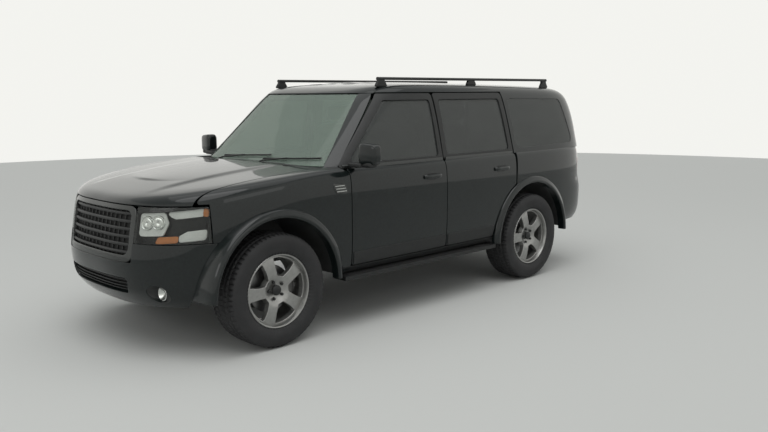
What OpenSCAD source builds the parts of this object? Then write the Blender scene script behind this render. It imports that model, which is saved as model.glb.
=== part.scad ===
// Five-door sport utility vehicle with a separate ladder frame.
// +X is forward, +Y is the vehicle's left, +Z is up, and z = 0 is the ground.
// The origin lies on the ground, under the middle of the vehicle's length and width.

/* [Overall] */
// Length from bumper to bumper
body_l = 4950; // [4100:10:5950]
// Width over the wheel flares, mirrors left out
body_w = 1970; // [1650:5:2370]
// Height over the roof rails
body_h = 1880; // [1560:5:2260]
// Distance between the axles
wheelbase = 2950; // [2450:10:3540]
// From the front axle to the front of the bumper
front_overhang = 900; // [760:5:1080]

/* [Wheels] */
// Outside diameter of a tyre
tyre_d = 806; // [670:2:970]
// Width of a tyre
tyre_w = 275; // [230:5:320]
// Outside diameter of a rim
rim_d = 548; // [450:2:640]
// Number of spokes on a rim
spokes = 5; // [4:1:8]
// From wheel centre to wheel centre across the vehicle
track = 1650; // [1500:5:1800]
// Gap between the tyre and the edge of its arch
arch_gap = 108; // [80:2:150]

/* [Body] */
// Height of the sill's lower edge
sill_z = 430; // [380:5:520]
// Height of the waist line under the windows
belt_z = 1215; // [1080:5:1250]
// Height of the hood at its front
nose_z = 1075; // [980:5:1120]
// From the front axle back to the foot of the windshield
cowl_back = 520; // [480:5:600]
// How far the windshield leans back between its foot and the roof
windshield_run = 570; // [500:5:720]
// How far the tailgate's top leans forward
tail_run = 140; // [60:5:220]
// Width of a wheel flare around its arch
flare_w = 62; // [40:2:90]
// Thickness of the quarter panels and fenders
wall_t = 26; // [18:1:40]

/* [Doors] */
// Gap around every door, hood and tailgate
panel_gap = 7; // [7:0.5:10]
// Gap beside the tailgate, which swings past the tapered pillars
gate_gap = 13; // [12:1:16]
// Thickness of a door below its window
door_t = 120; // [90:5:150]
// Thickness of a door's edge and window frame
frame_t = 38; // [32:2:50]
// Width of the window frame around the glass
frame_w = 52; // [40:2:70]
// Thickness of the window glass
glass_t = 5; // [4:0.5:8]
// Length of a front door at its sill
front_door_l = 1060; // [880:5:1270]
// Thickness of the hood and the tailgate
lid_t = 44; // [34:2:60]

/* [Chassis] */
// Height of a frame rail's section
rail_h = 130; // [100:5:160]
// Width of a frame rail's section
rail_w = 84; // [70:2:100]
// Distance between the centres of the two frame rails
rail_gap = 800; // [700:5:860]
// Height of the cabin floor
floor_z = 600; // [560:5:640]
// Radius of a wheel spindle
spindle_r = 30; // [24:1:36]
// Clearance between a spindle or shaft and its bore
bore_gap = 0.5; // [0.3:0.1:1]

/* [Hidden] */
$fn = 64;

paint = [0.07, 0.075, 0.075];
plastic = [0.12, 0.12, 0.12];
steel = [0.32, 0.33, 0.34];
glass = [0.45, 0.50, 0.48, 0.6];

// Places along the length
x_nose = body_l / 2;
x_tail = -body_l / 2;
axle_f = x_nose - front_overhang;
axle_r = axle_f - wheelbase;
axle_z = tyre_d / 2;
arch_r = tyre_d / 2 + arch_gap;
x_cowl = axle_f - cowl_back;
half_w = body_w / 2;
far = 3000;
// Gap between fixed panels
seam = 1.2;

// Shape of the body: rows of [share of height, side inset, nose inset, tail inset]
rail_over = 46;
roof_z = body_h - rail_over;
lower_rows = [
    [0.00, 66, 118, 62], [0.08, 42, 60, 24], [0.20, 31, 14, 2], [0.40, 26, 0, 0],
    [0.62, 25, 22, 44], [0.80, 29, 46, 48], [0.90, 38, 64, 54], [0.955, 53, 90, 60],
    [0.985, 80, 135, 76], [1.00, 135, 215, 110], [1.012, 420, 420, 400]];
// Rows of [share of height, side inset, lean of the windshield, lean of the tailgate]
upper_rows = [
    [-0.09, 64, -0.09, 0.00], [0.00, 70, 0.00, 0.00], [0.15, 90, 0.17, 0.04],
    [0.32, 112, 0.36, 0.10], [0.50, 138, 0.56, 0.20], [0.68, 168, 0.76, 0.38],
    [0.82, 198, 0.92, 0.62], [0.91, 230, 1.05, 1.00], [0.96, 268, 1.20, 1.55],
    [0.985, 330, 1.40, 2.20], [1.00, 460, 1.75, 3.20]];

function smooth(t) = let (c = max(0, min(1, t))) c * c * (3 - 2 * c);
function blend(a, b, t) = a + (b - a) * t;

// Lower and upper edges of the lower body along its length
function low_edge(x) = x > 0
    ? blend(sill_z, sill_z - 90, smooth((x - axle_f + 200) / 600))
    : blend(sill_z, sill_z + 40, smooth((axle_r + 100 - x) / 500));
function waist(x) = x > x_cowl
    ? blend(belt_z, nose_z, pow((x - x_cowl) / (x_nose - x_cowl), 1.4))
    : belt_z + 26 * (x_cowl - x) / (x_cowl - x_tail);
// Crown of the roof along its length
roof_peak = x_cowl - windshield_run - 450;
function roof_line(x) = roof_z - 46 * pow(max(0, roof_peak - x) / (roof_peak - x_tail), 2)
    - 18 * pow(max(0, x - roof_peak) / 700, 2);

// Points of a rounded plan outline, from the nose (0) past the side to the tail (1)
nose_n = 3;
screen_n = 8;
tail_n = 9;
// Share of the half length over which the nose, the screen and the tail curve in
nose_k = 0.48;
// Share of the half length that counts as side, and the share of stations it takes
side_c = 0.90;
side_q = 0.45;
// How far both ends bow out, as a share of the half length
end_bow = 0.012;
function bowed(c, s) = [c * (1 - end_bow * s * s), s];
function plan(q, n, k = 1) = q < side_q
    ? let (c = q / side_q * side_c, e = max(0, (c - 1 + k) / k)) bowed(c, pow(1 - pow(e, n), 1 / n))
    : let (s0 = pow(1 - pow((side_c - 1 + k) / k, n), 1 / n),
            s = max(0.03, s0 * (1 - (q - side_q) / (1 - side_q))))
        bowed(1 - k + k * pow(1 - pow(s, n), 1 / n), s);
function outline(u, n, k = 1) = u < 0.5
    ? plan(1 - 2 * u, n, k)
    : let (p = plan(2 * u - 1, tail_n)) [-p[0], p[1]];

// A point of the lower body's skin at station u and row r, inset by t and lowered by tz
function lower_pt(u, r, t, tz) = let (
        x1 = x_nose - r[2] - t,
        x0 = x_tail + r[3] + t,
        p = outline(u, nose_n, nose_k),
        x = (x1 + x0) / 2 + (x1 - x0) / 2 * p[0],
        z0 = low_edge(x))
    [x, (half_w - r[1] - t) * p[1], z0 + (waist(x) - z0) * r[0] - tz];
// A point of the cabin's skin
function upper_pt(u, r, t, tz) = let (
        x1 = x_cowl + 45 - windshield_run * r[2] - t,
        x0 = x_tail + 50 + tail_run * r[3] + t,
        p = outline(u, screen_n),
        x = (x1 + x0) / 2 + (x1 - x0) / 2 * p[0],
        z0 = belt_z)
    [x, (half_w - r[1] - t) * p[1], z0 + (roof_line(x) - z0) * r[0] - tz];

// Closed volume from left and right grids of points: rows inside stations
module solid_between(left) {
    ns = len(left);
    nr = len(left[0]);
    count = ns * nr;
    points = concat([for (s = left) for (p = s) p],
        [for (s = left) for (p = s) [p[0], -p[1], p[2]]]);
    skin = [for (i = [0 : ns - 2]) for (j = [0 : nr - 2])
        [i * nr + j, i * nr + j + 1, (i + 1) * nr + j + 1, (i + 1) * nr + j]];
    ends = concat(
        [for (j = [0 : nr - 2]) [j + 1, j, count + j, count + j + 1]],
        [for (j = [0 : nr - 2]) let (k = (ns - 1) * nr + j) [k, k + 1, count + k + 1, count + k]],
        [for (i = [0 : ns - 2]) let (k = i * nr) [k, k + nr, count + k + nr, count + k]],
        [for (i = [0 : ns - 2]) let (k = i * nr + nr - 1) [k + nr, k, count + k, count + k + nr]]);
    cut = function (f) len(f) == 4 ? [[f[0], f[1], f[2]], [f[0], f[2], f[3]]] : [f];
    faces = [for (f = skin) for (g = cut(f)) g];
    mirrored = [for (f = faces) [f[2] + count, f[1] + count, f[0] + count]];
    closing = [for (f = ends) for (g = cut(f)) g];
    polyhedron(points, concat(faces, mirrored, closing), convexity = 4);
}
// The lower body between two stations, inset by t on the sides and tz at the top
module lower_volume(u0, u1, steps, t = 0, tz = 0)
    solid_between([for (i = [0 : steps]) let (u = blend(u0, u1, i / steps))
        [for (j = [0 : len(lower_rows) - 1])
            lower_pt(u, lower_rows[j], t, j == 0 ? (t > 0 ? 120 : 0) : tz)]]);
module upper_volume(u0, u1, steps, t = 0, tz = 0)
    solid_between([for (i = [0 : steps]) let (u = blend(u0, u1, i / steps))
        [for (j = [0 : len(upper_rows) - 1])
            upper_pt(u, upper_rows[j], t, j == 0 ? (t > 0 ? 120 : 0) : tz)]]);
// Walls of the body, from depth t0 to depth t1 under the skin
module lower_wall(u0, u1, steps, t0, t1, tz0 = 0, tz1 = 0) difference() {
    lower_volume(u0, u1, steps, t0, tz0);
    lower_volume(u0, u1, steps, t1, tz1);
}
module upper_wall(u0, u1, steps, t0, t1, tz0 = 0, tz1 = 0) difference() {
    upper_volume(u0, u1, steps, t0, tz0);
    upper_volume(u0, u1, steps, t1, tz1);
}

// Helpers
module both() {
    children();
    mirror([0, 1, 0]) children();
}
module prism(points, y0, y1)
    translate([0, y1, 0]) rotate([90, 0, 0]) linear_extrude(y1 - y0) polygon(points);
module box(low, high) translate(low) cube(high - low);
module rod_x(x0, x1, y, z, r) translate([x0, y, z]) rotate([0, 90, 0]) cylinder(r = r, h = x1 - x0);
module rod_y(x, y0, y1, z, r) translate([x, y0, z]) rotate([-90, 0, 0])
    cylinder(r = r, h = y1 - y0, $fn = r > 300 ? 160 : 64);

// An outline whose corners are rounded to radius r, with its points given in turn
function turn(a, b, c) = let (u = (a - b) / norm(a - b), v = (c - b) / norm(c - b),
        half = acos(max(-1, min(1, u * v))) / 2) [u, v, half];
function corner(a, b, c, r, steps = 6) = let (
        k = turn(a, b, c),
        room = min(norm(a - b), norm(c - b)) * 0.49,
        d = min(r / tan(k[2]), room),
        rr = d * tan(k[2]),
        mid = (k[0] + k[1]) / norm(k[0] + k[1]),
        centre = b + mid * (rr / sin(k[2])),
        p0 = b + k[0] * d - centre,
        p1 = b + k[1] * d - centre,
        a0 = atan2(p0[1], p0[0]),
        raw = atan2(p1[1], p1[0]) - a0,
        sweep = raw > 180 ? raw - 360 : (raw < -180 ? raw + 360 : raw))
    [for (i = [0 : steps]) centre + rr * [cos(a0 + sweep * i / steps), sin(a0 + sweep * i / steps)]];
function rounded(pts, r) = let (n = len(pts))
    [for (i = [0 : n - 1]) each corner(pts[(i + n - 1) % n], pts[i], pts[(i + 1) % n], r)];

// Door outlines in side view. "grow" widens an outline on every side.
x_fdoor = axle_f - arch_r - 162;
x_bpillar = x_fdoor - front_door_l;
x_rdoor = axle_r + 262;
door_low = sill_z + 48;
// The front door's rear edge leans forward this much at the top, to swing past the rear door
top_ease = 11;
// Extra room behind the rear door
back_ease = 6;
door_high = blend(belt_z, roof_z, 0.865);
// The windshield pillar's rear edge, as x at a height z
pillar_w = 118;
pillar_lean = 1.04;
function pillar_x(z) = x_cowl - pillar_w - windshield_run * pillar_lean * (z - belt_z) / (roof_z - belt_z);
function fdoor_outline(grow) = rounded([
    [x_fdoor + grow, door_low - grow],
    [x_fdoor + grow, belt_z - 40],
    [pillar_x(belt_z) + grow * 1.4, belt_z + 8],
    [pillar_x(door_high) + grow * 1.4, door_high + grow],
    [x_bpillar + panel_gap / 2 + top_ease - grow, door_high + grow],
    [x_bpillar + panel_gap / 2 - grow, belt_z - 60],
    [x_bpillar + panel_gap / 2 - grow, door_low - grow]], 30);
function rdoor_outline(grow) = rounded([
    [x_bpillar - panel_gap / 2 + grow, door_low - grow],
    [x_bpillar - panel_gap / 2 + grow, door_high + grow],
    [x_rdoor + 30 - grow, door_high + grow],
    [x_rdoor - grow, belt_z],
    [x_rdoor - grow, door_low - grow]], 30);
// The glass of each window in side view
function fglass_outline() = rounded([
    [pillar_x(belt_z) - frame_w * 1.5, belt_z + 22],
    [pillar_x(door_high) - frame_w * 0.6, door_high - frame_w],
    [x_bpillar + frame_w, door_high - frame_w],
    [x_bpillar + frame_w, belt_z + 22]], 26);
function rglass_outline() = rounded([
    [x_bpillar - frame_w, belt_z + 24],
    [x_bpillar - frame_w, door_high - frame_w],
    [x_rdoor + frame_w + 30, door_high - frame_w],
    [x_rdoor + frame_w, belt_z + 26]], 30);
quarter_x0 = x_rdoor - 58;
quarter_x1 = x_tail + 330;
function qglass_outline() = rounded([
    [quarter_x0, belt_z + 30],
    [quarter_x0 + 22, door_high - frame_w],
    [quarter_x1 + 120, door_high - frame_w - 12],
    [quarter_x1, belt_z + 40]], 60);
rear_arch_cut = arch_r + flare_w + 11;

module arch_cut(x, r) rod_y(x, -half_w - 50, half_w + 50, axle_z, r);

// Flare around one arch, between the body side and its outer face
module flare(x, depth) difference() {
    rod_y(x, half_w - depth, half_w, axle_z, arch_r + flare_w);
    rod_y(x, half_w - depth - 1, half_w + 1, axle_z, arch_r);
    box([x - far, 0, -far], [x + far, half_w + 1, sill_z - 20]);
}
// The flares reach this far in from their outer face, to meet the skin where it tapers
flare_depth = 133;

// ---- Chassis ----
rail_y = rail_gap / 2;
// Side view of a frame rail: over the front axle, under the cabin, over the rear axle
rail_mid_z = sill_z - 45;
rail_front_z = axle_z + 85;
rail_rear_z = axle_z + 155;
function rail_top() = [
    [x_nose - 200, rail_front_z], [axle_f - 420, rail_front_z], [axle_f - 640, rail_mid_z],
    [axle_r + 620, rail_mid_z], [axle_r + 340, rail_rear_z], [axle_r - 360, rail_rear_z],
    [axle_r - 520, rail_rear_z - 30], [x_tail + 130, rail_rear_z - 30]];
function rail_outline() = concat(
    [for (p = rail_top()) [p[0], p[1] + rail_h]],
    [for (i = [7 : -1 : 0]) rail_top()[i]]);
module rails() both() prism(rail_outline(), rail_y - rail_w / 2, rail_y + rail_w / 2);
// Cross members: place along the length, lower face and height
cross_low_h = 13;
tail_cross_x = x_tail + 165;
tail_cross_z = rail_rear_z - 26;
cross_places = [
    [x_nose - 260, rail_front_z + 12, 70], [axle_f + 60, rail_front_z + 12, 70],
    [axle_f - 760, rail_mid_z + 2, cross_low_h], [axle_r + 640, rail_mid_z + 2, cross_low_h],
    [axle_r - 250, rail_rear_z + 50, 60], [tail_cross_x, tail_cross_z, 70]];
module ladder_frame() color(steel) union() {
    rails();
    for (c = cross_places)
        box([c[0] - 45, -rail_y, c[1]], [c[0] + 45, rail_y, c[1] + c[2]]);
}

engine_x = [axle_f - 330, axle_f + 330];
engine_z = rail_front_z + 82;
module engine() color(steel)
    box([engine_x[0], -260, engine_z], [engine_x[1], 260, engine_z + 440]);

gear_z = rail_mid_z + 115;
gear_r = 88;
shaft_r = 28;
diff_r = 120;
nose_l = 118;
module drivetrain() color(steel) union() {
    rod_x(engine_x[0] - 160, engine_x[0], 0, gear_z + 75, 150);
    rod_x(engine_x[0] - 620, engine_x[0] - 150, 0, gear_z, gear_r);
    box([engine_x[0] - 830, -150, gear_z - gear_r], [engine_x[0] - 600, 130, gear_z + 84]);
    // Propeller shaft back to the axle's differential
    along([engine_x[0] - 820, 0, gear_z], [axle_r + nose_l + 3, 0, axle_z], shaft_r);
}
// A round bar between two points
module along(a, b, r) let (d = b - a, l = norm(d))
    translate(a) rotate([0, acos(d[2] / l), atan2(d[1], d[0])]) cylinder(r = r, h = l);

// Exhaust: over the low cross members, over the axle tube, then out under the bumper
axle_tube_r = 46;
pipe_r = 30;
pipe_y = -rail_y + rail_w / 2 + 60;
pipe_z = rail_mid_z + 2 + cross_low_h + pipe_r + 6;
pipe_top = axle_z + axle_tube_r + pipe_r + 34;
tail_pipe_z = low_edge(x_tail) - pipe_r - 12;
pipe_route = [
    [engine_x[0] - 100, pipe_y, pipe_z], [axle_r + 560, pipe_y, pipe_z],
    [axle_r + 240, pipe_y, pipe_top], [axle_r - 90, pipe_y, pipe_top],
    [axle_r - 330, -rail_y - 160, tail_pipe_z], [x_tail + 80, -rail_y - 160, tail_pipe_z]];
module exhaust() color([0.42, 0.42, 0.41]) union() {
    for (i = [0 : len(pipe_route) - 2]) along(pipe_route[i], pipe_route[i + 1], pipe_r);
    for (i = [1 : len(pipe_route) - 2]) translate(pipe_route[i]) sphere(r = pipe_r + 2);
    rod_x(x_bpillar - 280, x_bpillar + 220, pipe_y, pipe_z + 8, 54);
}

module fuel_tank() color(plastic)
    box([axle_r + 700, shaft_r + 40, rail_mid_z - 20],
        [x_bpillar + 160, rail_y - rail_w / 2 - 4, floor_z - 30]);

spare_x = (axle_r + x_tail) / 2 + 15;
spare_w = 235;
spare_z = rail_rear_z - 30 - spare_w - 8;
module tyre_ring(r_out, r_in, w) rotate_extrude($fn = 96)
    polygon(rounded([[r_in, -w * 0.40], [r_out - 30, -w / 2], [r_out, -w * 0.42],
        [r_out, w * 0.42], [r_out - 30, w / 2], [r_in, w * 0.40]], 14));
module spare_wheel() color(plastic) translate([spare_x, 0, spare_z + spare_w / 2]) union() {
    tyre_ring(tyre_d / 2, rim_d / 2 - 24, spare_w);
    translate([0, 0, -spare_w * 0.3]) cylinder(r = rim_d / 2 - 18, h = spare_w * 0.5);
}

// ---- Suspension ----
king_y = track / 2 - 62;
arm_rise = 140;
arm_in = rail_y + rail_w / 2;
strut_y = rail_y + rail_w / 2 + 62;
module arm_plate(z, t) translate([axle_f, 0, z - t / 2]) linear_extrude(t) polygon([
    [-150, arm_in], [-36, king_y - 34], [36, king_y - 34], [150, arm_in],
    [92, arm_in], [22, king_y - 110], [-22, king_y - 110], [-92, arm_in]]);
module front_suspension() color(plastic) {
    both() {
        arm_plate(axle_z - arm_rise, 30);
        box([axle_f - 150, arm_in - rail_w, axle_z - arm_rise - 30],
            [axle_f + 150, arm_in, axle_z - arm_rise + 30]);
        box([axle_f - 40, arm_in - rail_w, axle_z - arm_rise],
            [axle_f + 40, arm_in - 4, rail_front_z]);
        arm_plate(axle_z + arm_rise, 24);
        along([axle_f, strut_y, axle_z + arm_rise + 12], [axle_f, strut_y, axle_z + arm_rise + 330], 46);
    }
    rod_y(axle_f, -arm_in + rail_w + 12, arm_in - rail_w - 12, axle_z, 42);
    rod_x(axle_f - 110, axle_f + 90, 0, axle_z, 92);
}

hub_face = track / 2 - tyre_w / 2 + 52;
module spindle(y0) rod_y(0, y0, track / 2 + 20, 0, spindle_r);
module knuckle() color(steel) translate([axle_f, 0, axle_z]) union() {
    box([-34, king_y - 26, -arm_rise + 21], [34, king_y + 26, arm_rise - 18]);
    rod_y(0, king_y - 20, king_y + 40, 0, 62);
    spindle(king_y);
    // Brake caliper over the disc
    box([-210, king_y + 6, -60], [-150, king_y + 60, 60]);
    box([-160, king_y - 12, -30], [-30, king_y + 14, 30]);
    // Steering arm
    box([-120, king_y - 64, -96], [-20, king_y - 14, -70]);
}
module knuckle_left() knuckle();
module knuckle_right() mirror([0, 1, 0]) knuckle();

module rear_axle() color(steel) {
    axle_beam();
    rear_links();
}
module axle_beam() translate([axle_r, 0, axle_z]) union() {
    rod_y(0, -hub_face + 6, hub_face - 6, 0, axle_tube_r);
    sphere(r = diff_r);
    rod_x(0, nose_l, 0, 0, 60);
    both() spindle(hub_face - 20);
    both() rod_y(0, hub_face - 20, hub_face - 6, 0, 110);
}
coil_y = rail_y + rail_w / 2 - 60;
module rear_links() both() {
    // Coil between the axle tube and the rail, and the trailing link under the rail
    difference() {
        translate([axle_r, coil_y, axle_z + 20]) cylinder(r = 52, h = rail_rear_z - axle_z - 20);
        rod_y(axle_r, -half_w, half_w, axle_z, axle_tube_r);
    }
    difference() {
        along([axle_r, rail_y, axle_z - 70], [axle_r + 700, rail_y, rail_mid_z - 30], 26);
        rod_y(axle_r, -half_w, half_w, axle_z, axle_tube_r);
    }
    box([axle_r + 660, rail_y - 30, rail_mid_z - 60], [axle_r + 740, rail_y + 30, rail_mid_z]);
    difference() {
        box([axle_r - 30, rail_y - 30, axle_z - 96], [axle_r + 30, rail_y + 30, axle_z]);
        rod_y(axle_r, -half_w, half_w, axle_z, axle_tube_r);
    }
}

// Square receiver under the tail, for a tow bar or a rack
receiver_w = 64;
receiver_in = 51;
receiver_l = 140;
pin_r = 8;
pin_back = 64;
receiver_z = low_edge(x_tail) - receiver_w - 6;
receiver_x = x_tail + 10;
hanger = 12;
module tow_receiver() color(steel) difference() {
    union() {
        box([receiver_x, -receiver_w / 2, receiver_z], [receiver_x + receiver_l, receiver_w / 2, receiver_z + receiver_w]);
        // Hangers up to the frame's last cross member
        both() box([tail_cross_x - 40, receiver_w / 2 - 1, receiver_z + 20],
            [tail_cross_x - 4, receiver_w / 2 + hanger, tail_cross_z]);
    }
    box([x_tail, -receiver_in / 2, receiver_z + (receiver_w - receiver_in) / 2],
        [receiver_x + receiver_l - 30, receiver_in / 2, receiver_z + (receiver_w + receiver_in) / 2]);
    rod_y(receiver_x + pin_back, -receiver_w, receiver_w, receiver_z + receiver_w / 2, pin_r);
}

// ---- Wheels ----
module tyre() color([0.05, 0.05, 0.05]) rotate([90, 0, 0])
    tyre_ring(tyre_d / 2, rim_d / 2 - 20, tyre_w);
barrel_r = rim_d / 2 - 20;
barrel_t = 12;
disc_r = 168;
spoke_w = 78;
// The rim's outer face is towards +Y
module rim() color([0.42, 0.42, 0.41]) difference() {
    union() {
        rotate([90, 0, 0]) rotate_extrude($fn = 96) polygon([
            [barrel_r - barrel_t, -tyre_w * 0.40], [barrel_r, -tyre_w * 0.40],
            [barrel_r, tyre_w * 0.40], [barrel_r - barrel_t, tyre_w * 0.40]]);
        rod_y(0, tyre_w * 0.16, tyre_w * 0.33, 0, 76);
        for (i = [0 : spokes - 1]) rotate([0, 360 / spokes * i, 0])
            box([50, tyre_w * 0.20, -spoke_w / 2], [barrel_r - 4, tyre_w * 0.33, spoke_w / 2]);
        // Brake disc with its hat
        rod_y(0, -tyre_w * 0.04, tyre_w * 0.2, 0, 74);
        rod_y(0, -tyre_w * 0.04, tyre_w * 0.02, 0, 140);
    }
    rod_y(0, -tyre_w, tyre_w * 0.28, 0, spindle_r + bore_gap);
}
module wheel_at(x, side) translate([x, side * track / 2, axle_z])
    if (side > 0) children();
    else mirror([0, 1, 0]) children();
module tyre_front_left() wheel_at(axle_f, 1) tyre();
module tyre_front_right() wheel_at(axle_f, -1) tyre();
module tyre_rear_left() wheel_at(axle_r, 1) tyre();
module tyre_rear_right() wheel_at(axle_r, -1) tyre();
module rim_front_left() wheel_at(axle_f, 1) rim();
module rim_front_right() wheel_at(axle_f, -1) rim();
module rim_rear_left() wheel_at(axle_r, 1) rim();
module rim_rear_right() wheel_at(axle_r, -1) rim();

// ---- Body shell ----
// Wheel tubs, bulkhead, floors and the radiator's support
tub_y = rail_y + rail_w / 2 + 4;
bulkhead_x = x_cowl + 20;
load_z = rail_rear_z + rail_h + 12;
floor_half = half_w - 66 - door_t - panel_gap - 90;
load_half = half_w - 185;
step_x = axle_r + 560;
module tub(x, y1) intersection() {
    difference() {
        rod_y(x, tub_y, y1, axle_z, arch_r + 12);
        rod_y(x, tub_y + 5, y1 + 1, axle_z, arch_r + 6);
    }
    box([x - far, 0, floor_z - 40], [x + far, half_w, far]);
}
module floor_pan() color(plastic) union() {
    difference() {
        union() {
            box([step_x, -floor_half, floor_z], [bulkhead_x, floor_half, floor_z + 18]);
            box([x_tail + 158, -load_half, load_z], [axle_r + arch_r + 12, load_half, load_z + 18]);
            box([axle_r + arch_r, -floor_half, load_z], [step_x + 18, floor_half, load_z + 18]);
            box([step_x, -floor_half, floor_z], [step_x + 18, floor_half, load_z + 18]);
            box([bulkhead_x - 20, -floor_half, floor_z], [bulkhead_x, floor_half, belt_z - 40]);
        }
        for (x = [axle_f, axle_r]) both() rod_y(x, tub_y - seam, half_w, axle_z, arch_r + 12 + seam);
        box([bulkhead_x - 30, -170, floor_z - 1], [bulkhead_x + 1, 170, floor_z + 110]);
    }
}
module wheel_tubs() color(plastic) {
    for (x = [axle_f, axle_r]) both() tub(x, half_w - flare_depth);
    // Walls of the engine bay, and the radiator with its support
    both() box([bulkhead_x, tub_y, floor_z + 20], [x_nose - 345, tub_y + 5, nose_z - 40]);
    box([x_nose - 346, -tub_y, rail_front_z + rail_h], [x_nose - 300, tub_y, nose_z - 75]);
}

// Openings through the body shell
// Plan outline of the hood's edges
hood_x0 = x_cowl + 85;
hood_side = half_w - 178;
function hood_outline(grow) = rounded([
    [hood_x0 - grow, hood_side + 12 + grow], [hood_x0 + 30 - grow, 0], [hood_x0 - grow, -hood_side - 12 - grow],
    [x_nose + 100, -hood_side + 50 - grow], [x_nose + 100, hood_side - 50 + grow]], 40);
hood_cut_z = nose_z - 38;
// The tailgate's outline, seen from behind
gate_half = half_w - 250;
gate_low = sill_z + 250;
gate_hinge_x = x_tail + 50 + tail_run * 2.1;
module gate_zone(grow) intersection() {
    rotate([90, 0, 90]) translate([0, 0, x_tail - 10]) linear_extrude(gate_hinge_x - x_tail + 10 + grow)
        polygon(rounded([[-gate_half - 56 - grow, gate_low - grow], [-gate_half - 60 - grow, belt_z],
            [-gate_half + 120 - grow, roof_z - 60], [-gate_half + 120 - grow, roof_z + 90],
            [gate_half - 120 + grow, roof_z + 90], [gate_half - 120 + grow, roof_z - 60],
            [gate_half + 60 + grow, belt_z], [gate_half + 56 + grow, gate_low - grow]], 40));
    box([x_tail - 10, -far, 0], [gate_hinge_x + grow, far, far]);
}

module rear_door_opening() for (x = [0, -back_ease])
    translate([x, 0, 0]) prism(rdoor_outline(panel_gap), 0, far);
// The side of the body: pillars, sill and quarter panel on the left
module side_openings() {
    prism(fdoor_outline(panel_gap), 0, far);
    // No point of metal is left between the rounded corners of the two doors
    box([x_bpillar - 40, 0, door_low - panel_gap], [x_bpillar + 55, far, door_high + panel_gap]);
    rear_door_opening();
    arch_cut(axle_r, arch_r);
    arch_cut(axle_f, arch_r);
    gate_zone(gate_gap);
}
screen_low = half_w - 215;
screen_top = half_w - 390;
screen_z = blend(belt_z, roof_z, 0.86);
module screen_zone() rotate([90, 0, 90]) linear_extrude(far)
    polygon([[-screen_low, belt_z + 8], [-screen_top, screen_z],
        [screen_top, screen_z], [screen_low, belt_z + 8]]);
// The roof panel ends this far inside the body's full width
roof_in = 296;
module roof_zone(t) box([gate_hinge_x + panel_gap, -half_w + roof_in + t, door_high], [far, half_w - roof_in - t, far]);

module side_left() {
    difference() {
        intersection() {
            upper_wall(0.05, 0.96, 22, 0, frame_t, 0, frame_t);
            box([x_tail, 0, belt_z - 20], [far, half_w, far]);
        }
        side_openings();
        prism(qglass_outline(), 0, far);
        screen_zone();
        roof_zone(0);
        box([x_fdoor - 1, 0, 0], [far, half_w, belt_z + 8]);
    }
    difference() {
        intersection() {
            lower_wall(0.57, 0.96, 11, 0, wall_t);
            box([x_tail, 0, 0], [x_rdoor + 60, half_w, belt_z + 8]);
        }
        side_openings();
        box([x_tail - 1, 0, 0], [axle_r - arch_r + 60, half_w, gate_low - 60]);
        box([x_tail - 1, 0, 0], [x_tail + 300, gate_half + 42, gate_low]);
        tail_lamp_zone();
    }
    // Flare of the rear arch
    difference() {
        flare(axle_r, flare_depth);
        rear_door_opening();
    }
}
module inner_frame() {
    y1 = half_w - 66 - door_t - panel_gap;
    // Sill
    x0 = axle_r + arch_r + 16;
    x1 = axle_f - arch_r - 16;
    box([x0, y1 - 90, sill_z + 30], [x1, y1, floor_z + 30]);
    box([x0, y1 - 20, sill_z + 10], [x_fdoor - 3, half_w - 70, door_low - panel_gap - 2]);
    // Middle pillar inside the doors
    y2 = y1 - 26;
    y3 = half_w - roof_in;
    hull() {
        box([x_bpillar - 60, y2 - 50, floor_z], [x_bpillar + 60, y2, floor_z + 10]);
        box([x_bpillar - 50, y2 - 50, belt_z], [x_bpillar + 50, y2, belt_z + 10]);
    }
    hull() {
        box([x_bpillar - 50, y2 - 50, belt_z], [x_bpillar + 50, y2, belt_z + 10]);
        box([x_bpillar - 40, y3 + 2, door_high - 20], [x_bpillar + 40, y3 + 16, door_high + panel_gap + 4]);
    }
}
module body_sides() color(paint) both() {
    side_left();
    inner_frame();
}

module roof() color(paint) difference() {
    intersection() {
        upper_wall(0.12, 0.90, 18, 0, frame_t, 0, frame_t);
        roof_zone(0);
    }
    both() prism(fdoor_outline(panel_gap), 0, far);
}
module roof_rails() color(plastic) both() difference() {
    rail_bar();
    upper_volume(0.12, 0.90, 18);
}
module rail_bar() {
    y = half_w - 330;
    x0 = x_tail + 480;
    x1 = x_cowl - windshield_run - 120;
    z = body_h - 26;
    rod_x(x0 + 20, x1 - 20, y, z + 12, 14);
    for (x = [x0 + 40, (x0 + x1) / 2, x1 - 40])
        box([x - 50, y - 12, z - 60], [x + 50, y + 12, z + 10]);
}

module front_fenders() color(paint) both() union() {
    difference() {
        intersection() {
            lower_wall(0.06, 0.42, 14, 0, wall_t, 0, wall_t);
            box([x_fdoor, 0, sill_z + 10], [far, half_w, belt_z + 8]);
        }
        prism(fdoor_outline(panel_gap), 0, far);
        arch_cut(axle_f, arch_r);
        linear_extrude(far) polygon(hood_outline(panel_gap));
        lamp_zone(-seam);
        bumper_zone(-seam);
        both() rod_y(axle_f, 0, half_w - flare_depth, axle_z, arch_r + 12 + seam);
    }
    flare(axle_f, flare_depth);
}

// Zones of the front: lamps beside the grille, bumper below
grille_half = 470;
lamp_low = nose_z - 285;
lamp_high = hood_cut_z - panel_gap;
lamp_back = x_nose - 440;
grille_low = sill_z + 230;
module lamp_zone(g) both()
    box([lamp_back + g, grille_half + g, lamp_low + g], [far, far, lamp_high + 2 * panel_gap - g]);
module grille_zone(g) box([x_nose - 330, -grille_half + g, grille_low + g], [far, grille_half - g, lamp_high]);
module bumper_zone(g) difference() {
    box([axle_f + arch_r * 0.5, -far, 0], [far, far, lamp_low - g]);
    both() rod_y(axle_f, 0, far, axle_z, arch_r + flare_w + seam);
}

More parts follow.
